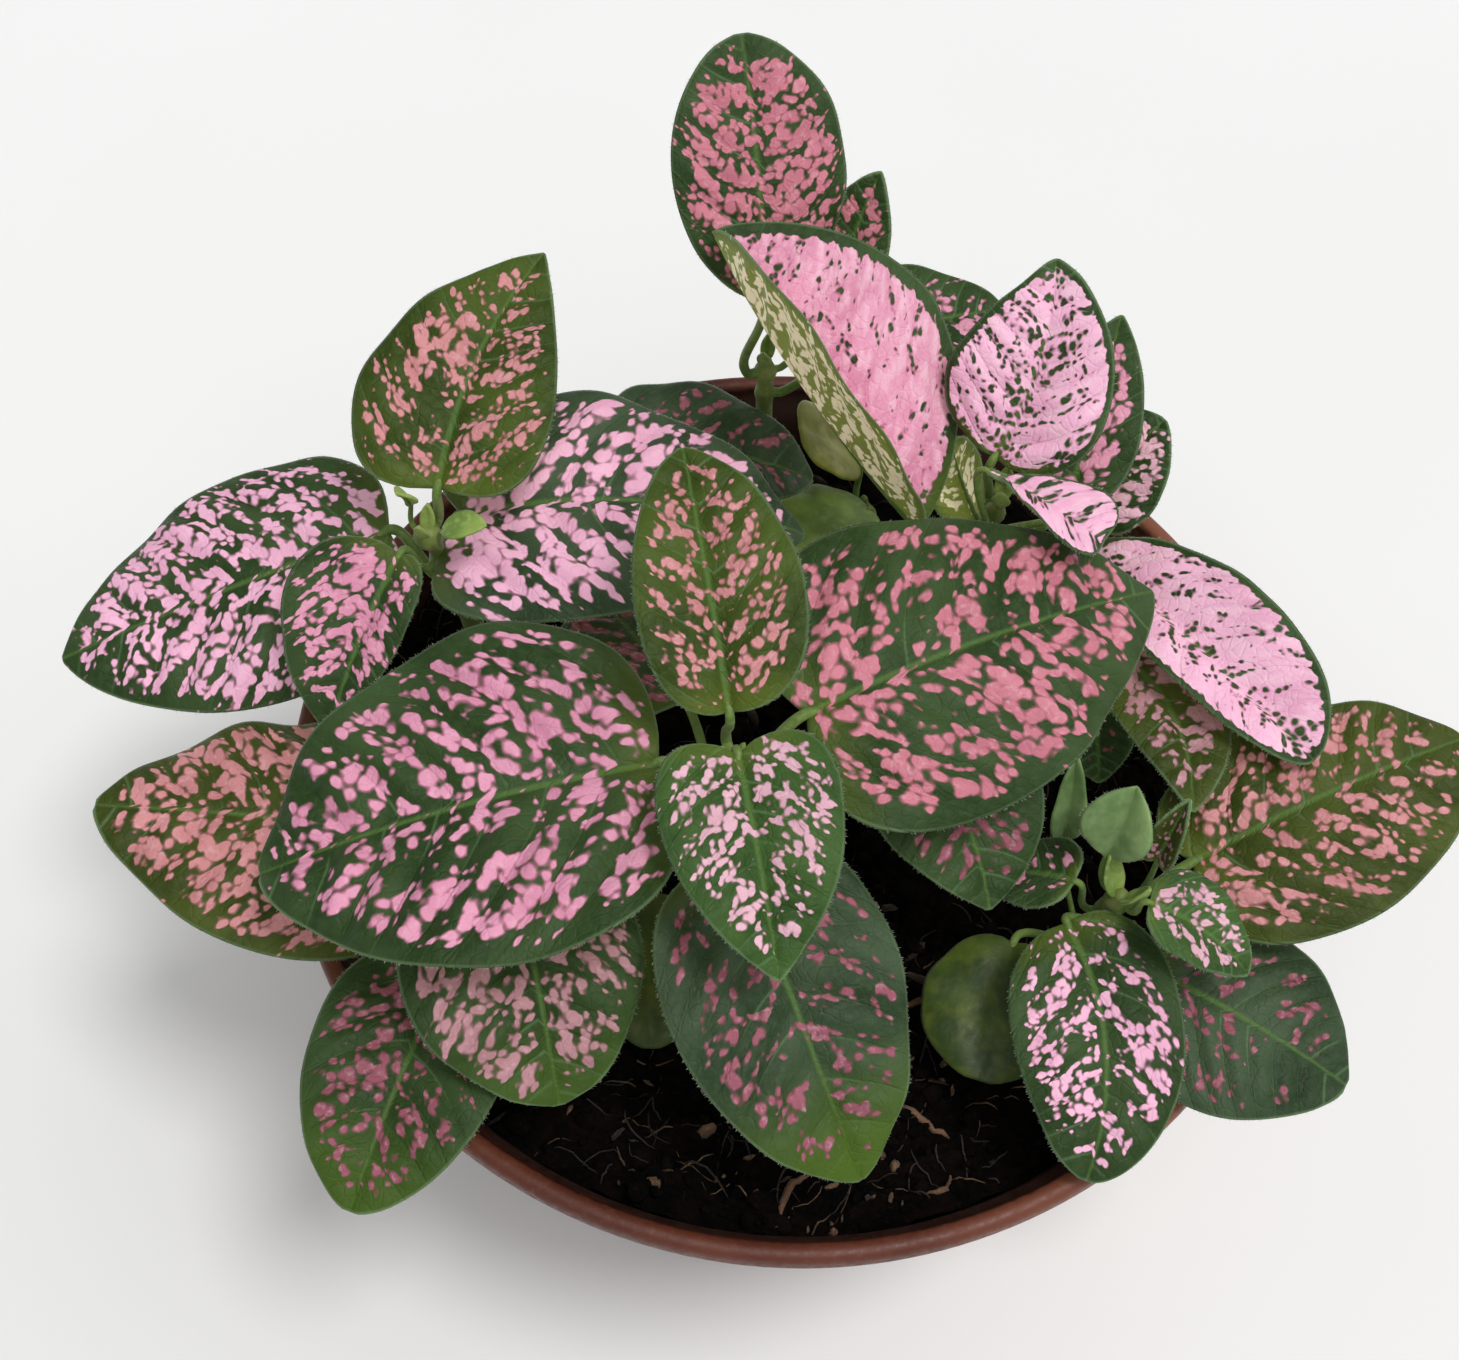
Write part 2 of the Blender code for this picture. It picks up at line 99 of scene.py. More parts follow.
# ---------------------------------------------------------------- the plan
@dataclass
class Stem:
    """A stem runs in a smooth bow from its socket in the soil to its growing tip."""
    foot: tuple  # x, y at the soil
    tip: tuple  # x, y, z of the growing tip
    bow: tuple = (0, 0)  # sideways offset of the middle
    thick: float = 1.6  # radius at the soil
    thin: float = 1.1  # radius at the tip
    tip_leaf: float = 3.2  # size of the pair of small leaves at its tip, or 0 for none


@dataclass
class Look:
    """Share of a blade that is pink, the size of its spots, and its two colours.

    stretch draws the spots out along the side veins, border is the width of the green margin,
    crowd is how far the spots gather into clusters, tip is how bare the tip is, and fresh is how
    far the tip turns yellow-green.
    """
    cover: float
    spot: float = 1.5
    pink: str = "salmon"
    green: str = "deep"
    stretch: float = 1.2
    border: float = 1.6
    crowd: float = 1.2
    tip: float = 0.2
    fresh: float = 0.0


@dataclass
class Leaf:
    """Base and tip of the blade, its widest measure, how it is bent, and its look.

    node is the height on the stem where the petiole leaves it. lift is the angle by which the
    left and right halves rise from the midrib, arch and sweep bow the midrib up and to the right
    by that share of the length, and roll turns the blade about its length with its right side
    down. rise and fall are the exponents of the outline at the base and at the tip, lobe pushes
    the base back beside the petiole, and uneven widens the right half and narrows the left. A
    blade without a look is plain.
    """
    node: float
    base: tuple
    tip: tuple
    width: float
    lift: tuple = (8, 8)
    arch: float = 0.06
    sweep: float = 0
    roll: float = 0
    rise: float = 0.42
    fall: float = 0.8
    lobe: float = 0.2
    uneven: float = 0
    look: Look = None


STEMS = {
    "centre": Stem((-8, -14), (-7.5, -18, 103), bow=(0, 2), thick=1.8, tip_leaf=2.2),
    "left": Stem((-38, 14), (-42.5, 11, 99), bow=(1, 1)),
    "corner": Stem((-25, -22), (-26, -25, 85), bow=(-1, 0)),
    "back": Stem((-5, 41), (-5.5, 41, 95)),
    "rear": Stem((17, 25), (22, 21, 96), tip_leaf=4.0),
    "side": Stem((29, 18), (30, 19, 80)),
    "right": Stem((34, -19), (35, -23.5, 86), tip_leaf=5.5),
    "seedling": Stem((9, 38), (8, 38, 72), thick=1.0, thin=0.8, tip_leaf=0),
}

LEAVES = {
    "centre": {
        "leaf_centre_back": Leaf(
            102, (-8, -17, 110), (-14, 9, 119), 18, (15, 15), fall=0.68, lobe=0.1, uneven=0.08,
            look=Look(0.47, 0.92, "coral", "moss", tip=0.3)),
        "leaf_centre_front": Leaf(
            101, (-7, -20.5, 108), (-2, -42, 101), 19, (10, 10), arch=0.08, fall=0.9, lobe=0.5,
            look=Look(0.5, 0.84, "pale", "grass", 1.1, tip=0.5)),
        "leaf_centre_left": Leaf(
            95, (-15, -18, 101), (-56, -29, 93), 39, (5, 8), fall=0.68,
            look=Look(0.48, 1.4, "rose", border=2.0)),
        "leaf_centre_right": Leaf(
            96, (0, -12, 102), (39, 10, 95), 36, (5, -15), lobe=0.4,
            look=Look(0.5, 1.44, stretch=1.1, border=2.0)),
        "leaf_centre_low_front": Leaf(
            84, (-6, -25, 93), (8, -53, 76), 26, arch=0.08, sweep=0.02, fall=0.72, uneven=0.05,
            look=Look(0.29, 1.28, "painted_shade", "blue", 1.1, tip=0.5, fresh=0.9)),
        "leaf_centre_low_back": Leaf(
            84, (-13, -5, 92), (-25, 14, 84), 20, look=Look(0.5, 1.2, "painted_shade", stretch=1.1)),
        "leaf_centre_low_right": Leaf(
            84, (13, -8, 91), (21, -25, 84), 20, sweep=-0.05,
            look=Look(0.38, 1.44, "painted_shade", stretch=1.1)),
    },
    "left": {
        "leaf_left_back": Leaf(
            98.3, (-41, 13.5, 104), (-31, 41, 112), 23, (10, 10), arch=0.05, sweep=-0.05, rise=0.38,
            fall=0.92, look=Look(0.48, 0.92, "coral", "moss")),
        "leaf_left_outer": Leaf(
            88, (-48, 16, 92), (-86, 4, 80), 31, (-15, 0), arch=0.02, fall=0.7,
            look=Look(0.62, 1.08, "lilac", crowd=1.5)),
        "leaf_left_front": Leaf(
            93, (-45, 8, 99), (-52, -9, 88), 15, (10, 10), arch=0.08, uneven=0.35,
            look=Look(0.6, 0.88, "rose", crowd=1.5)),
        "leaf_left_inner": Leaf(
            92, (-39.5, 16.5, 95), (0, 18.5, 91), 31, (5, 0), arch=0.12, rise=0.4, lobe=0.6,
            uneven=0.05, look=Look(0.62, 1.28, "lilac", "blue", crowd=1.5)),
        "leaf_left_low_back": Leaf(
            82, (-25, 33, 87), (1, 32.5, 83), 19, arch=0.1, fall=0.7,
            look=Look(0.37, 1.12, "painted_shade", "blue", 1.1)),
        "bud_leaf_left_right": Leaf(98, (-40, 8.5, 103), (-35, 8, 105), 4, arch=0.1, rise=0.7),
        "bud_leaf_left_back": Leaf(98, (-44, 12.5, 102.5), (-45, 11, 106), 3, arch=0.1, rise=0.7),
    },
    "corner": {
        "leaf_corner_outer": Leaf(
            76, (-40, -17, 80), (-78, -16, 82), 32, (-8, -15), arch=0.03, fall=0.72,
            look=Look(0.62, 1.2, "coral", "olive")),
        "leaf_corner_front": Leaf(
            70, (-37, -30, 76), (-45.5, -57.5, 72), 22, arch=0.08, fall=0.6,
            look=Look(0.42, 1.2, "painted_shade", fresh=0.6)),
        "leaf_corner_inner": Leaf(
            82, (-30, -25, 89), (-24, -47, 78), 26, arch=0.08, fall=0.65, uneven=0.1,
            look=Look(0.58, 1.08, "brown", stretch=1.3, fresh=0.5)),
        "seed_leaf_corner": Leaf(
            70, (-16, -20, 74), (-15, -37, 70), 12, (0, 0), rise=0.5, fall=0.5),
    },
    "back": {
        "leaf_back_tall": Leaf(
            93, (-6, 39, 108), (-10, 58, 130), 20, (10, 10), arch=0.05, sweep=0.01, rise=0.68,
            fall=0.62, look=Look(0.72, 0.88)),
        "leaf_back_small": Leaf(
            93, (2, 43, 104), (6.5, 50, 118), 11, (10, 10), arch=0.05,
            look=Look(0.64, 0.88, stretch=1.1)),
        "leaf_back_right": Leaf(
            89, (4, 41, 98), (23, 46, 100), 18, look=Look(0.55, 1.12, "rose", stretch=1.1)),
    },
    "rear": {
        "leaf_rear_top": Leaf(
            93, (20.5, 22.5, 102), (26, 39, 117), 19, sweep=0.07, lobe=0,
            look=Look(0.83, 0.8, "lilac", stretch=1.3, border=0.8)),
        "leaf_rear_second": Leaf(
            88, (30, 22, 95), (35, 40, 107), 12, lobe=0, look=Look(0.6, 1.2, "rose", stretch=1.3)),
        "leaf_rear_outer": Leaf(
            85, (32, 25, 90), (41.5, 33, 97), 19, uneven=-0.2, look=Look(0.74, 0.8, "pale")),
        "leaf_rear_curled": Leaf(
            93, (19.5, 19.5, 103.5), (32.5, 12, 101.5), 9.5, (15, 20), rise=1.3, fall=0.3, lobe=0,
            look=Look(0.95, 0.72, "lilac", stretch=2.6, border=0.35)),
        "leaf_rear_folded": Leaf(
            84, (20.5, 24.5, 86.5), (16, 27.3, 98.5), 9, roll=170, rise=0.6, fall=0.6, lobe=0,
            look=Look(0.6, 0.8, "pale", "olive")),
        "leaf_rear_long": Leaf(
            80, (13, 17, 96), (-12, 40, 118), 32, (80, 20), arch=0, sweep=-0.04, rise=0.65,
            fall=0.65, lobe=0, uneven=0.1, look=Look(0.92, 0.9, "rose")),
    },
    "side": {
        "leaf_side_outer": Leaf(
            78, (33, 22, 86), (57, -7, 88), 16, (30, 15), arch=0.08, sweep=0.03, rise=0.65,
            fall=0.5, lobe=0, uneven=-0.2, look=Look(0.93, 0.9, "lilac", stretch=1.3, border=0.8)),
        "leaf_side_low": Leaf(
            76, (36.5, 9, 84), (43.5, -13, 86), 14, sweep=-0.1,
            look=Look(0.64, 1.04, "brown", "olive")),
        "leaf_side_hidden": Leaf(
            72, (35, 7, 77), (36, -2, 72), 10, look=Look(0.3, 1.2, "painted_shade", stretch=1.1)),
    },
    "right": {
        "leaf_right_outer": Leaf(
            76, (44, -17, 82), (75, -2, 86), 26, (0, -8), rise=0.45, fall=0.65, lobe=0.5,
            uneven=0.12, look=Look(0.46, 1.16, "coral", "olive")),
        "leaf_right_young": Leaf(
            84.5, (37.2, -26.2, 90), (48.4, -31.4, 84), 10.5, (15, 15), sweep=-0.05,
            look=Look(0.5, 0.8, "pale", "grass", border=1.0, tip=0.4)),
        "leaf_right_front": Leaf(
            80, (29.5, -25.5, 83), (32, -51, 73), 19, arch=0.08, sweep=-0.1, rise=0.35, fall=0.55,
            lobe=0, uneven=0.08, look=Look(0.47, 0.88, "lilac")),
        "leaf_right_low": Leaf(
            71, (40, -27, 75), (61, -39, 73), 24, (0, -12), fall=0.65,
            look=Look(0.23, 1.28, "painted_shade", "blue", 1.1)),
        "leaf_right_inner": Leaf(
            79, (30, -22, 86), (22, -18, 79), 10, look=Look(0.35, 1.2, "rose", stretch=1.1)),
        "leaf_right_pale": Leaf(
            84.5, (32.8, -21.2, 90.5), (34.7, -17.5, 99.5), 9, (30, 30), rise=0.95, fall=0.85,
            lobe=0),
        "leaf_right_curl": Leaf(
            83, (38, -22, 92), (40, -19, 100), 6, (50, 50),
            look=Look(0.4, 0.72, "brown", "olive", border=0.6)),
        "seed_leaf_right_round": Leaf(
            69, (25, -24, 74), (21, -39, 70), 17, (-5, -5), rise=0.5, fall=0.5),
        "seed_leaf_right_narrow": Leaf(66, (31, -10, 74), (31, -6, 86), 5, (40, 40)),
    },
    "seedling": {
        "seed_leaf_notched": Leaf(69, (7, 41, 75.5), (-1, 40, 84), 11, (0, 0), rise=0.5, fall=0.3),
        "seed_leaf_flat": Leaf(69, (8.5, 35, 74), (-2, 26, 78.5), 13, (0, 0), rise=0.5, fall=0.5),
    },
}


# ---------------------------------------------------------------- meshes
def unit(vector):
    """Rows of an array, or one vector, scaled to length one."""
    vector = np.asarray(vector, float)
    return vector / np.maximum(np.linalg.norm(vector, axis=-1, keepdims=True), 1e-12)


def ease(value, low, high):
    """Smooth step from 0 at low to 1 at high: 3x^2 - 2x^3 of the share between them."""
    share = np.clip((np.asarray(value, float) - low) / (high - low), 0, 1)
    return share * share * (3 - 2 * share)


def sampled(at, run, rows):
    """Points or vectors in rows, given at places along a run, read off at other places on it."""
    return np.stack([np.interp(at, run, column) for column in rows.T], -1)


def evenly_round(count):
    """Angles in radians of points spaced evenly around a circle."""
    return np.arange(count) * 2 * pi / count


def circles(across, above, count):
    """Circles of radius one in the planes of two directions: cosine of one, sine of the other."""
    angles = evenly_round(count)[:, None]
    return np.cos(angles) * across[..., None, :] + np.sin(angles) * above[..., None, :]


def tube(path, radii, reference, around):
    """Rings of a round tube: circles square to the path, turned to keep to a direction."""
    along = unit(np.gradient(path, axis=0))
    across = unit(reference - np.sum(along * reference, -1, keepdims=True) * along)
    return path[:, None] + radii[:, None, None] * circles(across, np.cross(across, along), around)


def turned_rings(profile, around):
    """Rings of a lathe-turned profile of (radius, z): every row is one circle."""
    profile = np.asarray(profile, float)
    angles = evenly_round(around)
    radius, z = profile[:, :1], profile[:, 1:]
    return np.stack([radius * np.cos(angles), radius * np.sin(angles), z + 0 * angles], -1)


def closed_rings(rows, around):
    """Faces of rings between two poles: quads from ring to ring, and a fan at each end.

    The points are numbered in the order first pole, rings, last pole.
    """
    here = np.arange(around)
    turn = (here + 1) % around
    ring = 1 + np.arange(rows - 1)[:, None] * around
    quads = np.stack([ring + here, ring + turn, ring + turn + around, ring + here + around], -1)
    last = 1 + rows * around
    top = last - around
    low = np.stack([0 * here, turn + 1, here + 1], -1)
    high = np.stack([0 * here + last, here + top, turn + top], -1)
    return quads.reshape(-1, 4), np.concatenate([low, high])


def field(x, y, size, seed, waves=24):
    """A smooth random field: a sum of cosine waves of about one size in random directions.

    The sum is divided by the root of half their number, so that its spread is one.
    """
    chance = np.random.default_rng(seed)
    heading = chance.uniform(0, 2 * pi, waves)
    pace = 2 * pi / size * chance.uniform(0.6, 1.4, waves)
    phase = chance.uniform(0, 2 * pi, waves)
    total = np.zeros(np.shape(x))
    for h, p, f in zip(heading, pace, phase):
        total += np.cos(p * (np.cos(h) * x + np.sin(h) * y) + f)
    return total * (2 / waves) ** 0.5


def placed(name, data):
    """A new object that shows the data, linked to the scene."""
    thing = bpy.data.objects.new(name, data)
    bpy.context.scene.collection.objects.link(thing)
    return thing


NO_QUADS = np.zeros((0, 4), int)


class Shell:
    """Points, faces, material slots and values that are gathered into one mesh."""

    def __init__(self):
        self.points, self.quads, self.tris, self.quad_slots, self.tri_slots = [], [], [], [], []
        self.values = {}
        self.count = 0

    def add(self, points, quads, tris, quad_slots=0, tri_slots=0, **values):
        """Adds a batch of points with its faces and their slots, and values given per point.

        A batch that comes without a value that the first one had gets zeros for it.
        """
        self.points.append(points)
        for faces, slots, all_faces, all_slots in ((quads, quad_slots, self.quads, self.quad_slots),
                                                   (tris, tri_slots, self.tris, self.tri_slots)):
            all_faces.append(faces + self.count)
            all_slots.append(np.broadcast_to(slots, len(faces)))
        for key in {*self.values, *values}:
            given = values.get(key, np.zeros((len(points), 3)))
            self.values.setdefault(key, []).append(given)
        self.count += len(points)

    def add_rings(self, rings, poles, slots=0, **values):
        """Adds a closed tube: rings of points (rows, around, 3) and a pole at each end.

        slots is one slot for all faces, or one for each face around, and the values at a pole
        are the mean of those on the ring beside it.
        """
        rows, around = rings.shape[:2]
        points = np.concatenate([poles[:1], rings.reshape(-1, 3), poles[1:]])
        full = {key: np.concatenate([given[:1].mean(1), given.reshape(-1, 3), given[-1:].mean(1)])
                for key, given in values.items()}
        slots = np.broadcast_to(slots, around)
        self.add(points, *closed_rings(rows, around), np.tile(slots, rows - 1), np.tile(slots, 2),
                 **full)

    def mesh(self, name, materials):
        """The gathered mesh in metres, smooth, with its values as point attributes."""
        points = np.concatenate(self.points)
        quads, tris = np.concatenate(self.quads), np.concatenate(self.tris)
        corners = np.concatenate([quads.ravel(), tris.ravel()])
        sides = np.repeat((4, 3), (len(quads), len(tris)))
        slots = np.concatenate([*self.quad_slots, *self.tri_slots])
        mesh = bpy.data.meshes.new(name)
        mesh.vertices.add(len(points))
        mesh.vertices.foreach_set("co", (points * MM).astype(np.float32).ravel())
        mesh.loops.add(len(corners))
        mesh.loops.foreach_set("vertex_index", corners.astype(np.int32))
        mesh.polygons.add(len(sides))
        mesh.polygons.foreach_set("loop_start", (np.cumsum(sides) - sides).astype(np.int32))
        mesh.polygons.foreach_set("material_index", slots.astype(np.int32))
        mesh.update(calc_edges=True)
        mesh.shade_smooth()
        for key, given in self.values.items():
            layer = mesh.attributes.new(key, "FLOAT_VECTOR", "POINT")
            layer.data.foreach_set("vector", np.concatenate(given).astype(np.float32).ravel())
        for material in materials:
            mesh.materials.append(material)
        return mesh

    def piece(self, name, materials, node, slot):
        """The mesh as an object that rides on the root body in place of its solid."""
        piece = placed(name, self.mesh(name, materials))
        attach(piece, "root")
        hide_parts(node)
        return piece


# ---------------------------------------------------------------- materials
def tone(red, green, blue):
    """Screen colour from 0 to 255 as linear light: each channel to the power 2.2."""
    return (*[(c / 255) ** 2.2 for c in (red, green, blue)], 1)


class Paint:
    """A material's nodes, where each short call adds one node and returns its output.

    Each input is another node's output, or a value that is the same over the whole surface.
    """

    def __init__(self, name):
        self.material = bpy.data.materials.new(name)
        self.material.use_nodes = True
        self.tree = self.material.node_tree
        self.shader = self.tree.nodes["Principled BSDF"]

    def put(self, socket, value):
        """Joins an output to a socket, or sets the socket to a constant, or leaves it for None."""
        if isinstance(value, bpy.types.NodeSocket):
            self.tree.links.new(value, socket)
        elif value is not None:
            socket.default_value = value

    def node(self, kind, inputs, output=0, **settings):
        """Any node with its settings and inputs, and the output that is wanted of it."""
        made = self.tree.nodes.new(kind)
        for key, value in settings.items():
            setattr(made, key, value)
        for key, value in inputs.items():
            self.put(made.inputs[key], value)
        return made.outputs[output]

    def math(self, operation, *values):
        """One step of arithmetic."""
        return self.node("ShaderNodeMath", dict(enumerate(values)), operation=operation)

    def add(self, value, *others):
        """The sum of all values."""
        for other in others:
            value = self.math("ADD", value, other)
        return value

    def less(self, value, *others):
        """The first value less all the others."""
        for other in others:
            value = self.math("SUBTRACT", value, other)
        return value

    def times(self, first, second):
        """The product of two values."""
        return self.math("MULTIPLY", first, second)

    def vector(self, operation, first, second=None, output=0):
        """One step of arithmetic on vectors."""
        return self.node("ShaderNodeVectorMath", {0: first, 1: second}, output, operation=operation)

    def scaled(self, vector, factor):
        """A vector times a number."""
        return self.node("ShaderNodeVectorMath", {0: vector, "Scale": factor}, operation="SCALE")

    def joined(self, x, y, z):
        """A vector of three values."""
        return self.node("ShaderNodeCombineXYZ", {0: x, 1: y, 2: z})

    def split(self, vector):
        """The three values of a vector."""
        made = self.tree.nodes.new("ShaderNodeSeparateXYZ")
        self.put(made.inputs[0], vector)
        return made.outputs

    def attribute(self, name):
        """The three values of a point attribute."""
        return self.split(self.node("ShaderNodeAttribute", {}, "Vector", attribute_name=name))

    def place(self):
        """Object coordinates in millimetres."""
        return self.scaled(self.node("ShaderNodeTexCoord", {}, "Object"), 1 / MM)

    def step(self, value, low, high, start=0.0, end=1.0):
        """start below low, end above high, and a smooth step between."""
        ends = {"Value": value, "From Min": low, "From Max": high, "To Min": start, "To Max": end}
        return self.node("ShaderNodeMapRange", ends, interpolation_type="SMOOTHSTEP")

    def noise(self, where, scale, detail=2.0, rough=0.5, output=0):
        """Soft noise about 0.5, as a value or, as output 1, as a colour of three values."""
        inputs = {"Vector": where, "Scale": scale, "Detail": detail, "Roughness": rough}
        return self.node("ShaderNodeTexNoise", inputs, output)

    def cells(self, where, scale, feature, **more):
        """Distance on the flat to the middle, or the edge, of cells scattered at random."""
        inputs = {"Vector": where, "Scale": scale, **more}
        return self.node("ShaderNodeTexVoronoi", inputs, "Distance", feature=feature,
                         voronoi_dimensions="2D")

    def mix(self, share, first, second):
        """The first colour at a share of 0, and the second at 1."""
        inputs = {0: share, 6: first, 7: second}
        return self.node("ShaderNodeMix", inputs, 2, data_type="RGBA")

    def blotch(self, colour, other, where, scale, detail, low, high, most=1.0, rough=0.5):
        """A colour that turns to another, by up to the share most, where a noise passes low."""
        share = self.step(self.noise(where, scale, detail, rough), low, high, 0.0, most)
        return self.mix(share, colour, other)

    def bump(self, height, depth, strength):
        """A bump whose height runs from 0 to 1 over a depth in millimetres."""
        return self.node("ShaderNodeBump", {"Height": height, "Distance": depth * MM,
                                            "Strength": strength})

    def done(self, colour, roughness, normal=None, **fixed):
        """Joins the colour, roughness and normal to the shader and sets its constant values."""
        self.put(self.shader.inputs["Base Color"], colour)
        self.put(self.shader.inputs["Roughness"], roughness)
        self.put(self.shader.inputs["Normal"], normal)
        for key, value in fixed.items():
            self.put(self.shader.inputs[key.replace("_", " ")], value)
        return self.material


class BladePaint(Paint):
    """One face of a leaf, drawn in the flow of its veins.

    flow holds (distance out from the midrib, distance along it to the root of the side vein that
    passes here, share of the length), and place holds (distance to the margin, distance to the
    midrib, distance along the midrib), in millimetres. flat is the face laid out flat, drawn is
    shortened along the side veins, and bent is the one of them that carries the spots, swayed.
    """

    def __init__(self, name, look, seed, spacing, under):
        super().__init__(name)
        self.look, self.under = look, under
        self.holes = look.cover > NEARLY_PINK and not under
        self.pace = 1 / look.spot
        out, root, self.share = self.attribute("flow")
        self.edge, self.rib, down = self.attribute("place")
        layer = seed * 11.3  # a part of every noise that no other leaf shows
        along = self.add(self.times(down, 0.75), self.times(root, 0.25))
        self.flat = self.joined(out, along, layer)
        self.drawn = self.joined(self.math("DIVIDE", out, 1.15 * look.stretch), root, layer)
        self.sway = self.vector("ADD", self.offset(0.3, 1.4), self.offset(1.4, 0.3))
        self.bent = self.vector("ADD", self.drawn if look.stretch > 1.5 else self.flat, self.sway)
        turns = self.math("FRACT", self.add(self.math("DIVIDE", root, spacing), 0.5))
        from_vein = self.times(self.math("ABSOLUTE", self.less(turns, 0.5)), spacing)
        from_rib = self.add(self.rib, self.times(self.share, 0.35))
        self.on_vein = self.step(from_vein, 0.0, VEIN_WIDTH, 1.0, 0.0)
        self.on_rib = self.step(from_rib, 0.2, 0.75, 1.0, 0.0)

    def offset(self, scale, most):
        """A random shift to any side, by up to half of most times the spots' size."""
        colour = self.noise(self.flat, scale * self.pace, 0.0, output=1)
        return self.scaled(self.vector("SUBTRACT", colour, (0.5, 0.5, 0.5)), self.look.spot * most)

    def spots(self):
        """Share of pink at each place, and how near it is to the heart of a spot.

        Spots are soft-joined round cells, painted where a width is more than the distance to the
        cell's middle. The width is a drifting field, drawn out along the side veins, so cells
        stay single dots where it is low and run together into clusters where it is high. It is
        less at the margin, the midrib, the tip and the side veins. A leaf that is nearly all
        pink gets green dots the same way, and a solid green margin.
        """
        look, edge, rib, holes = self.look, self.edge, self.rib, self.holes
        reach = self.cells(self.bent, self.pace, "SMOOTH_F1", Smoothness=0.5)
        crowd = self.noise(self.vector("ADD", self.drawn, self.sway), 0.5 * self.pace, 1.5, 0.6)
        crowd = self.times(self.less(crowd, 0.5), look.crowd * 2.1)
        by_rib = (4.5, 0.28) if holes else (1.3, 0.25)  # how far out and how strongly
        bare = self.add(self.step(edge, look.border * 0.3, look.border * 1.5, 0.6, 0.0),
                        self.step(rib, 0.2, *by_rib, 0.0),
                        self.step(self.share, 0.84, 0.98, 0.0, look.tip),
                        self.times(self.on_vein, 0.1))
        cover = 1 - look.cover if holes else min(look.cover, 0.6) if self.under else look.cover
        width = self.add(crowd, -0.02 + 0.85 * cover)
        width = self.add(width, bare) if holes else self.less(width, bare)
        width = self.math("SMOOTH_MIN", width, 0.44 + (0.27 if holes else 0.33) * cover, 0.3)
        width = self.less(width, self.step(width, 0.1, 0.3, 0.2, 0.0))  # no specks
        if holes:
            border = self.step(edge, look.border * 0.45, look.border * 1.2, 0.9, 0.0)
            width = self.add(width, border)
        worth = self.less(width, reach)
        spot = self.step(worth, -SPOT_EDGE, SPOT_EDGE)
        if holes:
            return self.less(1.0, spot), self.step(worth, -0.3, 0.0, 1.0, 0.0)
        return spot, self.step(worth, -0.05, 0.22)

    def pinks(self, heart):
        """The pink from a spot's edge to its heart, with drifting darker and paler patches."""
        outer, inner = (tone(*colour) for colour in PINKS[self.look.pink])
        pink = self.mix(self.step(heart, 0.0, 1.0, 0.35, 1.0), outer, inner)
        pink = self.blotch(pink, outer, self.flat, 0.14, 2.0, 0.4, 0.7, 0.35)
        pink = self.blotch(pink, tone(*PALE_PINK), self.flat, 1.3, 2.0, 0.5, 0.75, 0.22)
        if self.holes:
            marbling = tone(255, 214, 228)
            pink = self.blotch(pink, marbling, self.drawn, 0.7, 3.0, 0.42, 0.68, 0.5)
        # the lower face is pale cream: partly its own colour, partly painted light that brightens
        # it where it lies in shade
        return self.mix(0.9, pink, tone(250, 242, 196)) if self.under else pink

    def greens(self):
        """The ground green, paler on the veins and the rib, and yellower at the base and tip."""
        shaded, lit = (tone(*colour) for colour in GREENS[self.look.green])
        green = self.blotch(shaded, lit, self.flat, 0.1, 2.0, 0.35, 0.68)
        green = self.blotch(green, lit, self.flat, 1.1, 3.0, 0.35, 0.75, 0.4)
        seen = self.times(self.step(self.rib, 1.5, 9.0, 0.5, 0.08),
                          self.step(self.noise(self.flat, 0.16, 1.0), 0.4, 0.62))
        fresh = self.step(self.share, 0.55, 0.95, 0.0, self.look.fresh)
        green = self.mix(self.times(self.on_vein, seen), green, tone(*PALE_VEIN))
        green = self.mix(self.times(self.on_rib, 0.65), green, tone(90, 122, 60))
        green = self.mix(self.step(self.share, 0.02, 0.16, 0.4, 0.0), green, tone(104, 118, 40))
        green = self.mix(fresh, green, tone(74, 100, 22))
        if self.under:
            green = self.mix(0.7, green, tone(150, 162, 76))
            green = self.mix(self.step(self.edge, 0.3, 2.0, 0.6, 0.0), green, tone(80, 104, 48))
        return green

    def relief(self):
        """Sunken veins, raised on the lower face, a fine net between them, and a soft grain."""
        net = self.step(self.cells(self.bent, 0.75, "DISTANCE_TO_EDGE"), 0.0, 0.16)
        grain = self.noise(self.flat, 5.0, 3.0)
        height = self.less(self.add(self.times(net, 0.3), self.times(grain, 0.5)),
                           self.times(self.on_vein, 0.5), self.times(self.on_rib, 0.6))
        if self.under:
            height = self.times(height, -1.0)
        return self.bump(height, 0.16, 0.9)


def blade_paint(name, look, seed, spacing, under):
    """A leaf's upper or lower face: pink spots on green, and a pale green line at the margin."""
    p = BladePaint(name, look, seed, spacing, under)
    spot, heart = p.spots()
    colour = p.mix(spot, p.greens(), p.pinks(heart))
    colour = p.mix(p.step(p.edge, 0.05, 0.4, 0.7, 0.0), colour, tone(*MARGIN_GREEN))
    if under:
        p.put(p.shader.inputs["Emission Color"], colour)  # painted light: the lower face glows faintly with its own colour, in place of light that shines through the blade
    roughness = p.step(p.noise(p.flat, 0.9, 2.0), 0.3, 0.7, 0.46, 0.6)
    return p.done(colour, roughness, p.relief(), Specular_IOR_Level=0.22, Sheen_Weight=0.03,
                  Sheen_Roughness=0.4, Emission_Strength=0.16 if under else 0.0)


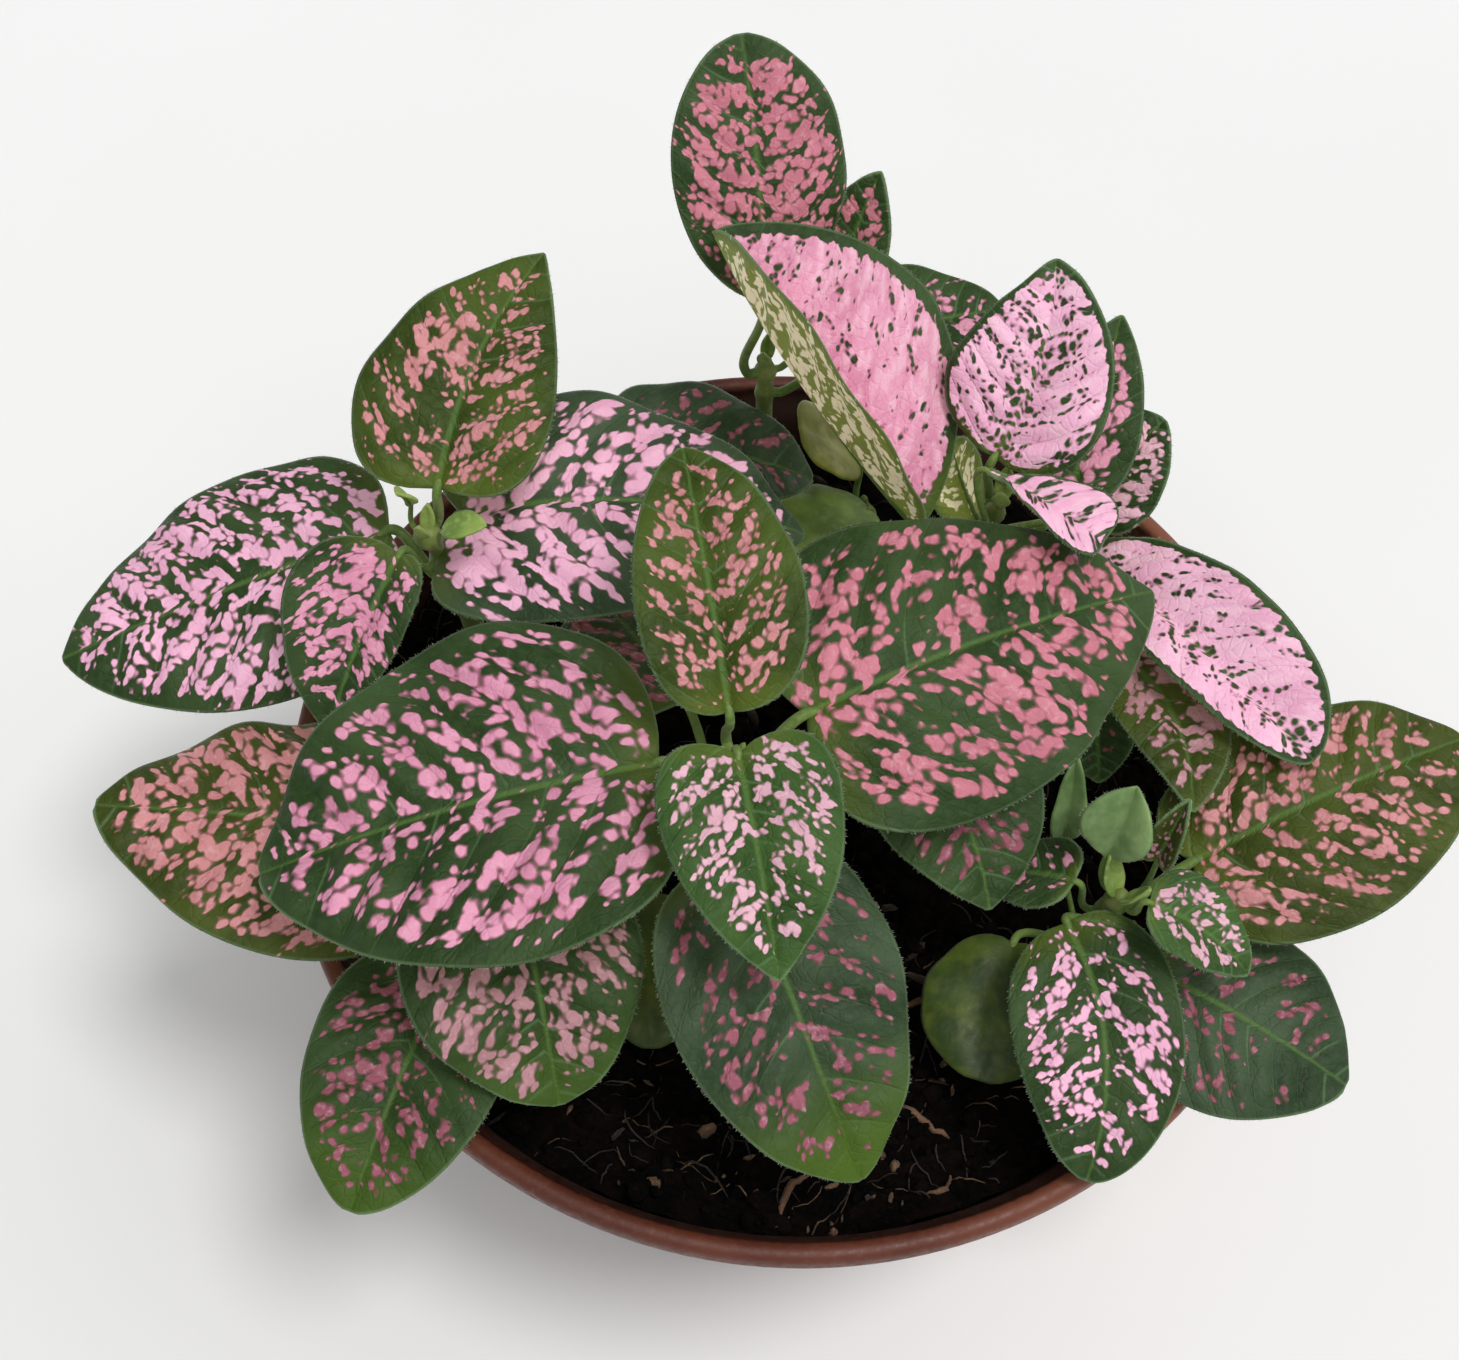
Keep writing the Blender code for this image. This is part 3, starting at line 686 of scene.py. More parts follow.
def plain_paint(name, dark, light, patch, grain=1.0, roughness=0.5, patches=0.5):
    """A surface without spots: two tones that drift, patches of a third, and a soft grain."""
    p = Paint(name)
    where = p.place()
    colour = p.blotch(tone(*dark), tone(*light), where, 0.22, 3.0, 0.35, 0.68)
    colour = p.blotch(colour, tone(*patch), where, 1.6 * grain, 3.0, 0.45, 0.75, patches)
    rough = p.step(p.noise(where, 1.0, 2.0), 0.3, 0.7, roughness - 0.08, roughness + 0.08)
    relief = p.bump(p.noise(where, 4.0 * grain, 4.0), 0.1, 0.7)
    return p.done(colour, rough, relief, Specular_IOR_Level=0.4, Sheen_Weight=0.1)


def soil_paint():
    """Damp compost: near-black crumbs with brown flecks, and two sizes of grain."""
    p = Paint("damp_compost")
    where = p.place()
    colour = p.blotch(tone(6, 4, 3), tone(26, 18, 14), where, 0.25, 4.0, 0.38, 0.66, rough=0.65)
    colour = p.blotch(colour, tone(52, 38, 29), where, 1.3, 4.0, 0.55, 0.72, 0.45, 0.7)
    height = p.add(p.noise(where, 1.2, 5.0, 0.7), p.times(p.noise(where, 4.5, 4.0, 0.7), 0.5))
    rough = p.step(p.noise(where, 2.0, 3.0), 0.35, 0.7, 0.62, 0.95)
    return p.done(colour, rough, p.bump(height, 0.7, 1.0), Specular_IOR_Level=0.1)


def pot_paint():
    """Terracotta-coloured plastic: warm brown-red, blotched and scuffed, with painted light and
    shade.

    It is painted lighter to the right, where light falls. Painted shade darkens the inner side of
    the wall, which is where the radius less the wall's taper times the height is smaller than in
    the middle of the wall, and the inner half of the lip's top. Both borders waver with a noise.
    """
    p = Paint("terracotta_plastic")
    where = p.place()
    x, _, z = p.split(where)
    colour = p.blotch(tone(82, 38, 24), tone(98, 49, 33), where, 0.08, 3.0, 0.35, 0.68)
    colour = p.blotch(colour, tone(122, 76, 60), where, 0.9, 5.0, 0.5, 0.78, 0.4, 0.65)
    colour = p.blotch(colour, tone(62, 32, 24), where, 0.35, 4.0, 0.55, 0.85, 0.3, 0.6)
    scuff = p.noise(p.vector("MULTIPLY", where, (1.0, 1.0, 6.0)), 1.4, 4.0, 0.7)
    colour = p.mix(p.step(scuff, 0.62, 0.74, 0.0, 0.35), colour, tone(136, 94, 78))
    # painted light: the right side of the pot is made lighter
    colour = p.mix(p.step(x, 10.0, 52.0, 0.0, 0.75), colour, tone(138, 84, 62))
    # painted shade: the inner side of the wall and the inner half of the lip's top turn near-black
    radius = p.vector("LENGTH", p.vector("MULTIPLY", where, (1.0, 1.0, 0.0)), output=1)
    taper = wall_radius(1) - wall_radius(0)
    inward = p.add(p.less(p.times(z, taper), radius), p.times(p.noise(where, 0.5, 3.0), 0.8))
    inner_wall_shade = p.times(p.step(inward, 0.8 - FOOT_RADIUS, 1.2 - FOOT_RADIUS), p.step(z, 10.0, 20.0))
    # painted shade on the inner half of the lip's top
    lip = p.add(radius, p.times(p.noise(where, 0.9, 3.0), 0.9))
    lip = p.times(p.step(lip, LIP_RADIUS - 2.1, LIP_RADIUS - 1.5, 1.0, 0.0),
                  p.step(z, POT_HEIGHT - 3.4, POT_HEIGHT - 2.9))
    colour = p.mix(p.times(p.math("MAXIMUM", inner_wall_shade, lip), 0.88), colour, tone(36, 20, 15))
    height = p.add(p.noise(where, 3.0, 4.0, 0.6), p.times(scuff, 0.4))
    rough = p.step(p.noise(where, 1.1, 4.0), 0.3, 0.7, 0.42, 0.62)
    return p.done(colour, rough, p.bump(height, 0.06, 0.6), Specular_IOR_Level=0.45)


# ---------------------------------------------------------------- stems
def stem_path(stem, share):
    """Centre line of a stem: a parabola through its foot and tip, pulled by its bowed middle."""
    share = np.asarray(share, float)[..., None]
    foot = np.array([*stem.foot, STEM_FOOT])
    tip = np.array(stem.tip, float)
    middle = (foot + tip) / 2 + np.array([*stem.bow, 0])
    return (1 - share) ** 2 * foot + 2 * share * (1 - share) * middle + share ** 2 * tip


def stem_share(stem, height):
    """Share along a stem's curve at a height, which is even because its middle is half-way up."""
    return (height - STEM_FOOT) / (stem.tip[2] - STEM_FOOT)


def stem_radius(stem, share):
    """Radius of a stem's solid, which thins evenly along it."""
    return stem.thick + (stem.thin - stem.thick) * share


def make_stem(name, stem, leaves):
    """A tapered tube with faint ribs, a soft swelling at each leaf's joint and a dome at its tip.

    It is a little slimmer than its solid. A swelling is a bell curve along the stem, and the
    dome's radius is the root of one less the square of the share of its height.
    """
    share = np.linspace(0, 1, 60)
    radius = stem_radius(stem, share) * (0.92 - 0.3 * share ** 2)
    for leaf in leaves.values():
        away = (share - stem_share(stem, leaf.node)) * (stem.tip[2] - STEM_FOOT)
        radius = radius + JOINT_HEIGHT * np.exp(-(away / JOINT_LENGTH) ** 2)
    cap = np.linspace(0.25, 0.95, 5)
    path = stem_path(stem, share)
    path = np.concatenate([[[*stem.foot, SOCKET_FLOOR + 1]], path,
                           path[-1] + cap[:, None] * (0, 0, 0.7)])
    radius = np.concatenate([[stem.thick * 0.92], radius, radius[-1] * np.sqrt(1 - cap ** 2)])
    rings = tube(path, radius, np.array([1.0, 0, 0]), STEM_SIDES)
    ribs = 1 + 0.05 * np.cos(4 * evenly_round(STEM_SIDES))
    rings = path[:, None] + (rings - path[:, None]) * ribs[None, :, None]
    shell = Shell()
    shell.add_rings(rings, np.array([path[0] - (0, 0, 0.1), path[-1] + (0, 0, 0.06)]))
    shell.piece(f"grown_stem_{name}", [STEM_PAINT], f"stem_{name}", "stem")


def make_tip_leaves(name, stem):
    """Two small plain blades that rise from a stem's tip to opposite sides."""
    tip, size = np.array(stem.tip), stem.tip_leaf
    for number, turn in enumerate((0.5, 0.5 + pi)):
        turn += len(name)  # so that the pairs face different ways
        out = np.array([cos(turn), sin(turn), 0])
        low = tip + out * 0.5 - (0, 0, 0.4)
        high = tip + out * size * 0.5 + (0, 0, size)
        leaf = Leaf(0, low, high, 0.62 * size, (25, 25), arch=-0.1, rise=0.5, fall=0.7)
        young = Shell()
        add_blade(young, leaf, 40 + number)
        young.piece(f"tip_leaf_{name}_{number + 1}", [YOUNG_PAINT] * 2, f"stem_{name}", "stem")


# ---------------------------------------------------------------- leaves
def midrib(leaf, t):
    """Points and a frame (along, side, up) on the bowed midrib, at shares t of its length."""
    base, tip = np.array(leaf.base, float), np.array(leaf.tip, float)
    length = np.linalg.norm(tip - base)
    along = (tip - base) / length
    up = unit(np.array([0, 0, 1]) - along[2] * along)
    side = np.cross(along, up)
    roll = radians(leaf.roll)
    up, side = cos(roll) * up + sin(roll) * side, cos(roll) * side - sin(roll) * up
    bow = length * (leaf.arch * up + leaf.sweep * side)
    t = np.asarray(t, float)[:, None]
    points = base + t * (tip - base) + 4 * t * (1 - t) * bow
    tangent = unit((tip - base) + 4 * (1 - 2 * t) * bow)
    up = unit(up - (tangent @ up)[:, None] * tangent)
    return points, tangent, np.cross(tangent, up), up


def half_width(leaf, t):
    """Outline of the blade: a rise from the base times a fall to the tip, one at its widest."""
    peak = leaf.rise / (leaf.rise + leaf.fall)
    return leaf.width / 2 * (t / peak) ** leaf.rise * ((1 - t) / (1 - peak)) ** leaf.fall


def fold_across(leaf, v):
    """How far the places v of -1 to 1 across a blade lie to the side and up, per half width.

    The slope runs smoothly from flat at the midrib to the half's lift, eased down towards the
    margin, and its cosine and sine are summed up to a rounded fold.
    """
    fine = np.linspace(0, 1, 201)
    across, above = np.zeros(len(v)), np.zeros(len(v))
    for sign, lift in zip((-1, 1), leaf.lift):
        crown = 16 if abs(lift) < STEEP_LIFT else 5
        slope = np.radians(lift + crown * (0.9 - 1.9 * fine)) * ease(fine, -0.03, 0.12)
        half = np.sign(v) == sign
        for total, part in ((across, sign * np.cos(slope)), (above, np.sin(slope))):
            run = np.concatenate([[0], np.cumsum((part[1:] + part[:-1]) / 2)]) / (len(fine) - 1)
            total[half] = np.interp(np.abs(v[half]), fine, run) * (1 + leaf.uneven * sign)
    return across, above


def vein_flow(leaf, length, t, v, width, back):
    """Where each point of a blade lies in the flow of its veins, and the veins' spacing.

    out is the distance from the midrib, less than 0 on the left, and down the distance along it.
    A side vein rises from its root at a slant that grows as the square of the distance out, and
    those of the two sides leave in turn. edge is the distance to the slanting outline.
    """
    side = np.sign(v)
    out = width * (np.abs(v) * (1 + leaf.uneven * side)) * side
    reach = np.abs(out)
    down = t[:, None] * length - back
    spacing = max(length / SIDE_VEINS, VEIN_GAP)
    root = down - 0.3 * reach - 0.5 * reach ** 2 / max(leaf.width / 2, 1)
    root = root + 0.35 * (v > 0) * spacing
    slant = np.gradient(width[:, 0], t)[:, None] / length
    edge = width * (1 - np.abs(v)) / np.sqrt(1 + slant ** 2)
    edge = np.minimum(edge, (1 - t)[:, None] * length * 0.9)
    return out, root, down, edge, spacing


def blade_relief(leaf, seed, t, v, out, root, down, spacing):
    """How far each point of a blade moves along its normal, in millimetres.

    The fields between side veins swell as a squared sine, the midrib sinks as a bell curve, and
    a random field and a sine wave grow as the first and third power of the share out.
    """
    size, far = leaf.width / 30, np.abs(v)
    inside = ease(far, 0.02, 0.25) * (1 - ease(far, 0.7, 1.0))
    taper = (ease(t, 0.0, 0.15) * (1 - ease(t, 0.8, 1.0)))[:, None]
    swell = np.sin(pi * root / spacing) ** 2 - 0.5
    rise = (SWELLING if leaf.look else 0.0) * size * swell * inside * taper
    rise = rise - RIB_DEPTH * size * np.exp(-(out / 0.8) ** 2) * (1 - 0.8 * t[:, None])
    rise = rise + UNEVENNESS * size * field(out, down, 9.0 * size + 3, seed, 12) * far
    chance = np.random.default_rng(seed + 500)
    pace = 2 * pi * chance.uniform(2.2, 3.4)
    shift = chance.uniform(0, 2 * pi, 2)
    wave = (v > 0) * np.sin(pace * t[:, None] + shift[0])
    wave = wave + (v < 0) * np.sin(pace * 0.9 * t[:, None] + shift[1])
    middle = (ease(t, 0, 0.2) * ease(t, 1, 0.9))[:, None]
    rise = rise + MARGIN_WAVE * size * wave * far ** 3 * middle
    return rise * 0.5 if abs(leaf.lift[0]) > STEEP_LIFT else rise


def blade_surface(leaf, seed):
    """The blade's middle surface over (along, across), its normals, and its flow and place.

    Along it the outline is a power rise times a power fall, and its base is pushed back beside
    the petiole by the cube of the share that is left. Across it follows the fold, and the relief
    is added along the normal.
    """
    length = np.linalg.norm(np.array(leaf.tip, float) - leaf.base)
    rows = int(np.clip(length / BLADE_STEP, 18, 96))
    cols = int(np.clip(leaf.width / BLADE_CROSS_STEP, 12, 60)) // 2 * 2 + 1  # odd, for a midrib
    x = (np.arange(rows) + 0.5) / rows
    t = 0.5 * x + 0.5 * (1 - np.cos(pi * x)) / 2  # closer together near both ends
    t = t * 0.997 + 0.001
    v = np.linspace(-1, 1, cols)
    v = 0.65 * v + 0.35 * np.sin(v * pi / 2)  # closer together near the margins
    points, tangent, side, up = midrib(leaf, t)
    width = np.maximum(half_width(leaf, t), 0.5 * ease(t, 0.5, 0.0) + 0.05)[:, None]
    across, above = fold_across(leaf, v)
    back = leaf.lobe * width * np.abs(v) * ((1 - t) ** 3)[:, None]
    surface = points[:, None] - back[..., None] * tangent[:, None]
    surface = surface + width[..., None] * (across[:, None] * side[:, None]
                                            + above[:, None] * up[:, None])
    out, root, down, edge, spacing = vein_flow(leaf, length, t, v, width, back)
    rise = blade_relief(leaf, seed, t, v, out, root, down, spacing)
    surface = surface + rise[..., None] * surface_normal(surface, up)
    flow = np.stack([out, root, np.broadcast_to(t[:, None], out.shape)], -1)
    place = np.stack([edge, np.abs(out), down], -1)
    return surface, surface_normal(surface, up), flow, place, v, t, spacing


def surface_normal(surface, up):
    """Unit normals of a grid, from the cross product of its two differences, on the upper side."""
    normal = unit(np.cross(np.gradient(surface, axis=0), np.gradient(surface, axis=1)))
    middle = surface.shape[1] // 2
    return normal * np.sign(np.sum(normal[:, middle] * up, -1).mean())


def petiole_path(leaf, stem):
    """A cubic bend from the side of the stem to the base of the blade, sloped as it leaves.

    It is led by a short straight run from the stem's middle.
    """
    points, tangent, side, _ = midrib(leaf, [0.0])
    base, tangent = points[0], tangent[0]
    share = stem_share(stem, leaf.node)
    axis = stem_path(stem, share)
    reach = (base - axis) + 0.1 * (np.array(leaf.tip) - axis)
    outward = unit(reach * (1, 1, 0))
    slope = np.clip(0.5 * reach[2] / (reach @ outward), *PETIOLE_SLOPES)
    leaving = unit(outward + (0, 0, slope))
    start = axis + outward * (stem_radius(stem, share) + CLEARANCE + PETIOLE_RADIUS * leaving[2])
    pull = 0.3 * np.linalg.norm(base - start)
    knots = np.array([start, start + pull * leaving, base - pull * tangent, base])
    s = np.linspace(0, 1, 22)[:, None]
    bend = (1 - s) ** 3 * knots[0] + 3 * s * (1 - s) ** 2 * knots[1]
    bend = bend + 3 * s ** 2 * (1 - s) * knots[2] + s ** 3 * knots[3]
    inside = axis - leaving * 0.2
    lead = inside + np.linspace(0, 0.8, 4)[:, None] * (start - inside)
    return np.concatenate([lead, bend]), side[0]


def add_blade(shell, leaf, seed):
    """Adds a closed blade: the middle surface thickened both ways, to a thin rounded margin.

    Its upper side has slot 0 and its lower side slot 1.
    """
    surface, normal, flow, place, v, t, spacing = blade_surface(leaf, seed)
    half = BLADE_THICKNESS / 2 * np.sqrt(np.maximum(1 - np.abs(v) ** 10, 0))[None, :, None]
    both_sides = ((surface + half * normal, surface - half * normal), (flow, flow), (place, place))
    rings, flows, places = (np.concatenate([upper, lower[:, -2:0:-1]], axis=1)
                            for upper, lower in both_sides)
    sides = np.repeat((0, 1), len(v) - 1)
    middle = len(v) // 2
    base, after, before, tip = surface[[0, 1, -2, -1], middle]
    poles = np.array([base - 0.2 * unit(after - base), tip + 0.15 * unit(tip - before)])
    facing = np.cross(rings[1, 1] - rings[0, 1], rings[0, 2] - rings[0, 1])
    if np.sum(facing * normal[0, 1]) > 0:
        rings, flows, places = rings[:, ::-1], flows[:, ::-1], places[:, ::-1]
        sides = np.roll(sides[::-1], -1)
    shell.add_rings(rings, poles, sides, flow=flows, place=places)
    return surface, normal, t, spacing


def make_leaf(name, leaf, stem, seed):
    """A blade, its petiole that runs on below it as a thinning rib, and hairs on its margin."""
    shell = Shell()
    surface, normal, t, spacing = add_blade(shell, leaf, seed)
    middle = surface.shape[1] // 2

    small = min(0.95, 0.35 + leaf.width / 45)
    path, side = petiole_path(leaf, stem)
    share = np.linspace(0.04, 0.9, 26)
    below = sampled(share, t, surface[:, middle] - normal[:, middle] * 0.3)
    petiole = PETIOLE_RADIUS * small * (1.05 - 0.2 * np.linspace(0, 1, len(path)))
    rib = PETIOLE_RADIUS * 0.85 * small * np.linspace(1, 0.12, len(share))
    petiole[:3] *= (1.25, 1.2, 1.12)
    upward = unit(sampled(share, t, normal[:, middle]))
    path = np.concatenate([path, below - upward * (rib[:, None] * 0.5)])
    rings = tube(path, np.concatenate([petiole, rib]), side, PETIOLE_SIDES)
    poles = (path[0] - 0.1 * unit(path[1] - path[0]), path[-1] + 0.1 * unit(path[-1] - path[-2]))
    shell.add_rings(rings, np.array(poles), slots=2)
    kind = name.split("_")[0]
    if kind == "leaf":
        add_hairs(shell, surface, normal, seed)
    if leaf.look:
        faces = [blade_paint(f"{name}_face", leaf.look, seed, spacing, False),
                 blade_paint(f"{name}_back", leaf.look, seed, spacing, True)]
    else:
        faces = [PLAIN_PAINTS.get(name, YOUNG_PAINT)] * 2
    shell.piece(f"grown_{name}", [*faces, PETIOLE_PAINT, HAIR_PAINT], name, kind)


def add_hairs(shell, surface, normal, seed):
    """Short pale hairs along the margin: thin three-sided cones that lean outwards and forwards."""
    chance = np.random.default_rng(seed + 900)
    for column, inner in ((0, 1), (-1, -2)):
        rim = surface[:, column]
        run = np.concatenate([[0], np.cumsum(np.linalg.norm(np.diff(rim, axis=0), axis=1))])
        count = int(run[-1] / HAIR_GAP)
        at = np.sort(chance.uniform(0.02, 0.99, count)) * run[-1]
        guides = (rim, unit(rim - surface[:, inner]), unit(np.gradient(rim, axis=0)),
                  normal[:, column])
        root, outward, forward, upward = (sampled(at, run, guide) for guide in guides)
        lean = unit(outward + forward * chance.uniform(0.1, 0.8, (count, 1))
                    + upward * chance.uniform(-0.5, 0.6, (count, 1)))
        length = chance.uniform(*HAIR_LENGTHS, (count, 1))
        across = unit(np.cross(lean, upward + 0.01))
        foot = root[:, None] + HAIR_RADIUS * circles(across, np.cross(lean, across), 3)
        points = np.concatenate([foot, (root + lean * length)[:, None]], axis=1)
        corners = np.array([(0, 1, 3), (1, 2, 3), (2, 0, 3), (0, 2, 1)])
        tris = corners[:, None] + np.arange(count)[:, None] * 4
        shell.add(points.reshape(-1, 3), NO_QUADS, tris.reshape(-1, 3), tri_slots=3)


# ---------------------------------------------------------------- pot and soil
def wall_radius(z):
    """Radius of the inside of the pot's wall at a height, on its straight taper."""
    share = z / (POT_HEIGHT - LIP_DEPTH)
    return FOOT_RADIUS + (LIP_RADIUS - LIP_WIDTH - FOOT_RADIUS) * share - WALL


def dense(profile, step):
    """A profile with points added along its straight runs, none further apart than step."""
    profile = np.asarray(profile, float)
    lengths = np.linalg.norm(np.diff(profile, axis=0), axis=1)
    counts = np.maximum(np.ceil(lengths / step).astype(int), 1)
    parts = [a + (b - a) * np.arange(n)[:, None] / n
             for a, b, n in zip(profile[:-1], profile[1:], counts)]
    return np.concatenate([*parts, profile[-1:]])


def rounded(centre, radius, start, end, count):
    """Points of an arc about a centre, from one angle to another in degrees."""
    angles = np.radians(np.linspace(start, end, count))
    return list(zip(centre[0] + radius * np.cos(angles), centre[1] + radius * np.sin(angles)))


def make_pot():
    """The turned pot: recessed base, tapered wall, and a lip whose top rolls over in one curve.

    Its radius sways by three and seven slow waves around, and its drain holes are cut last.
    """
    inner_lip = LIP_RADIUS - LIP_WIDTH
    under_lip = POT_HEIGHT - LIP_DEPTH
    outer = wall_radius(under_lip) + WALL
    roll = LIP_WIDTH / 2
    foot = FOOT_RADIUS - EDGE_ROUND
    profile = [(RECESS_INNER, 0), (RECESS_INNER + 0.6, RECESS_DEPTH),
               (RECESS_OUTER - 0.6, RECESS_DEPTH), (RECESS_OUTER, 0), (foot, 0)]
    profile += rounded((foot, EDGE_ROUND), EDGE_ROUND, -80, -20, 4)
    profile += [(outer - 0.5, under_lip - 1.2), (outer + 0.1, under_lip - 0.2)]
    profile += rounded((LIP_RADIUS - EDGE_ROUND, under_lip + EDGE_ROUND), EDGE_ROUND, -90, -10, 5)
    profile += [(LIP_RADIUS, POT_HEIGHT - roll - 0.4)]
    profile += rounded((LIP_RADIUS - roll, POT_HEIGHT - roll), roll, 8, 172, 13)
    profile += [(inner_lip, POT_HEIGHT - roll - 1.4), (wall_radius(under_lip), under_lip - 0.5),
                (wall_radius(FLOOR + 1), FLOOR + 1), (wall_radius(FLOOR) - 1.2, FLOOR)]
    rings = turned_rings(dense(profile, 3.0), POT_SIDES)
    angle = evenly_round(POT_SIDES)
    lean = 1 + 0.0012 * np.sin(3 * angle + 0.6) + 0.0008 * np.sin(7 * angle)
    rings[..., :2] *= lean[None, :, None]
    shell = Shell()
    shell.add_rings(rings, np.array([(0, 0, 0), (0, 0, FLOOR)]))
    pot = shell.piece("turned_pot", [POT_PAINT], "pot", "pot")
    for turn in 2 * pi * np.arange(DRAIN_COUNT) / DRAIN_COUNT:
        ends = turned_rings([(DRAIN_RADIUS, -1), (DRAIN_RADIUS, FLOOR + 1)], 24)
        ends = ends + (DRAIN_RING * cos(turn), DRAIN_RING * sin(turn), 0)
        hole = Shell()
        hole.add_rings(ends, ends.mean(1))
        cut(pot, hole)


def cut(piece, hole):
    """Takes a closed shell out of a piece and leaves no modifier on it."""
    tool = placed("cutter", hole.mesh("cutter", []))
    modifier = piece.modifiers.new("cut", "BOOLEAN")
    modifier.operation, modifier.solver, modifier.object = "DIFFERENCE", "EXACT", tool
    graph = bpy.context.evaluated_depsgraph_get()
    made = bpy.data.meshes.new_from_object(piece.evaluated_get(graph))
    piece.modifiers.remove(modifier)
    piece.data = made
    bpy.data.objects.remove(tool)


def soil_height(x, y):
    """Level of the soil: gentle lumps as in the solid, with clods and crumbs of three sizes."""
    lumps = np.sin(0.21 * x + 0.9) * np.cos(0.17 * y - 0.4) + 0.6 * np.sin(0.33 * x - 0.27 * y)
    level = SOIL_LEVEL + 1.2 * lumps / 1.6 - 0.0004 * (x * x + y * y)
    clods = 0.9 * np.abs(field(x, y, 9, 1)) + 0.55 * np.abs(field(x, y, 3.6, 2))
    return level + (clods + 0.25 * field(x, y, 1.5, 3)) - 0.7


def make_soil():
    """The soil's lumpy top over (distance, angle), closed by a side and a bottom inside the pot."""
    radius = np.sqrt(np.linspace(0.0004, 1, 110)) * (SOIL_RADIUS - 0.1)
    angles = evenly_round(SOIL_SIDES)
    x, y = radius[:, None] * np.cos(angles), radius[:, None] * np.sin(angles)
    top = np.stack([x, y, soil_height(x, y)], -1)[::-1]
    side = turned_rings([(wall_radius(FLOOR + 1) - 1.5, FLOOR + 0.3),
                         (wall_radius(FLOOR + 3) - 0.3, FLOOR + 3),
                         (wall_radius(SOIL_LEVEL - 4) - 0.2, SOIL_LEVEL - 4)], SOIL_SIDES)
    shell = Shell()
    shell.add_rings(np.concatenate([side, top]),
                    np.array([(0, 0, FLOOR + 0.3), (0, 0, soil_height(0.0, 0.0))]))
    shell.piece("compost", [SOIL_PAINT], "soil", "soil")


def soil_spots(chance, count, arc):
    """Even random places on the soil, as x and y, between two angles in degrees."""
    radius = np.sqrt(chance.uniform(0, 1, count)) * (SOIL_RADIUS - 0.8)
    angle = np.radians(chance.uniform(*arc, count))
    return radius * np.cos(angle), radius * np.sin(angle)


def lay_pieces(name, paint, points, rows, around, order=1):
    """One piece of many small closed tubes (tube, point, 3), whose corners go round in an order."""
    first = np.arange(len(points))[:, None, None] * points.shape[1]
    quads, tris = (faces[:, ::order] + first for faces in closed_rings(rows, around))
    shell = Shell()
    shell.add(points.reshape(-1, 3), quads.reshape(-1, 4), tris.reshape(-1, 3))
    shell.piece(name, [paint], "soil", "soil")


def scatter(name, count, sizes, squash, seed, paint, arc=(0, 360)):
    """Pieces on the soil: small balls, each stretched, turned and dented at random."""
    chance = np.random.default_rng(seed)
    size = sizes[0] * (sizes[1] / sizes[0]) ** chance.uniform(0, 1, count) ** 2
    x, y = soil_spots(chance, count, arc)
    place = np.stack([x, y, soil_height(x, y) + size * 0.15], -1)
    ball = np.concatenate([[(0, 0, -1)], BALL.reshape(-1, 3), [(0, 0, 1)]])
    dents = 1 + chance.uniform(-0.28, 0.28, (count, len(ball), 1))
    shape = ball[None] * dents * chance.uniform(*squash, (count, 1, 3)) * size[:, None, None]
    points = np.einsum("nij,nkj->nki", random_turns(chance, count), shape) + place[:, None]
    lay_pieces(name, paint, points, *BALL.shape[:2])


def lay_threads(name, count, lengths, radii, seed, paint, arc=(0, 360)):
    """Fibres and twigs that lie on the soil: square tubes along arcs that rise in the middle."""
    chance = np.random.default_rng(seed)
    s = np.linspace(-0.5, 0.5, THREAD_POINTS)[None, :]
    length = chance.uniform(*lengths, (count, 1))
    x, y = soil_spots(chance, count, arc)
    heading = chance.uniform(0, 2 * pi, (count, 1)) + chance.uniform(-2.2, 2.2, (count, 1)) * s
    x = x[:, None] + np.cumsum(np.cos(heading), 1) * length / THREAD_POINTS
    y = y[:, None] + np.cumsum(np.sin(heading), 1) * length / THREAD_POINTS
    kept_in = np.minimum(1, (SOIL_RADIUS - 0.6) / np.hypot(x, y))
    x, y = x * kept_in, y * kept_in
    lift = chance.uniform(0.0, 1.2, (count, 1)) * (1 - (2 * s) ** 2)
    lift = lift * chance.uniform(0, 1, (count, 1))
    path = np.stack([x, y, soil_height(x, y) + 0.15 + lift], -1)
    along = unit(np.gradient(path, axis=1))
    across = unit(np.cross(along, (0.0, 0.0, 1.0)))
    radius = chance.uniform(*radii, (count, 1)) * (1 - 0.7 * (2 * np.abs(s)) ** 3)
    rings = circles(across, np.cross(across, along), THREAD_SIDES)
    rings = path[:, :, None] + radius[:, :, None, None] * rings
    points = np.concatenate([path[:, :1], rings.reshape(count, -1, 3), path[:, -1:]], axis=1)
    lay_pieces(name, paint, points, THREAD_POINTS, THREAD_SIDES, order=-1)


def random_turns(chance, count):
    """Rotation matrices from random unit quaternions."""
    w, x, y, z = unit(chance.normal(size=(count, 4))).T
    rows = [1 - 2 * (y * y + z * z), 2 * (x * y - z * w), 2 * (x * z + y * w),
            2 * (x * y + z * w), 1 - 2 * (x * x + z * z), 2 * (y * z - x * w),
            2 * (x * z - y * w), 2 * (y * z + x * w), 1 - 2 * (x * x + y * y)]
    return np.stack(rows, -1).reshape(-1, 3, 3)


# ---------------------------------------------------------------- camera, floor and light
SUNS = (  # degrees around from +X, degrees up, degrees of spread, and power
    (-36, 72, 14, 1.25),
    (-90, 60, 40, 0.55),
    (10, 50, 70, 0.7),
)
SURROUND = 0.345  # power of the light from all sides
FLOOR_HALF, FLOOR_LEVEL = 3000.0, -0.02


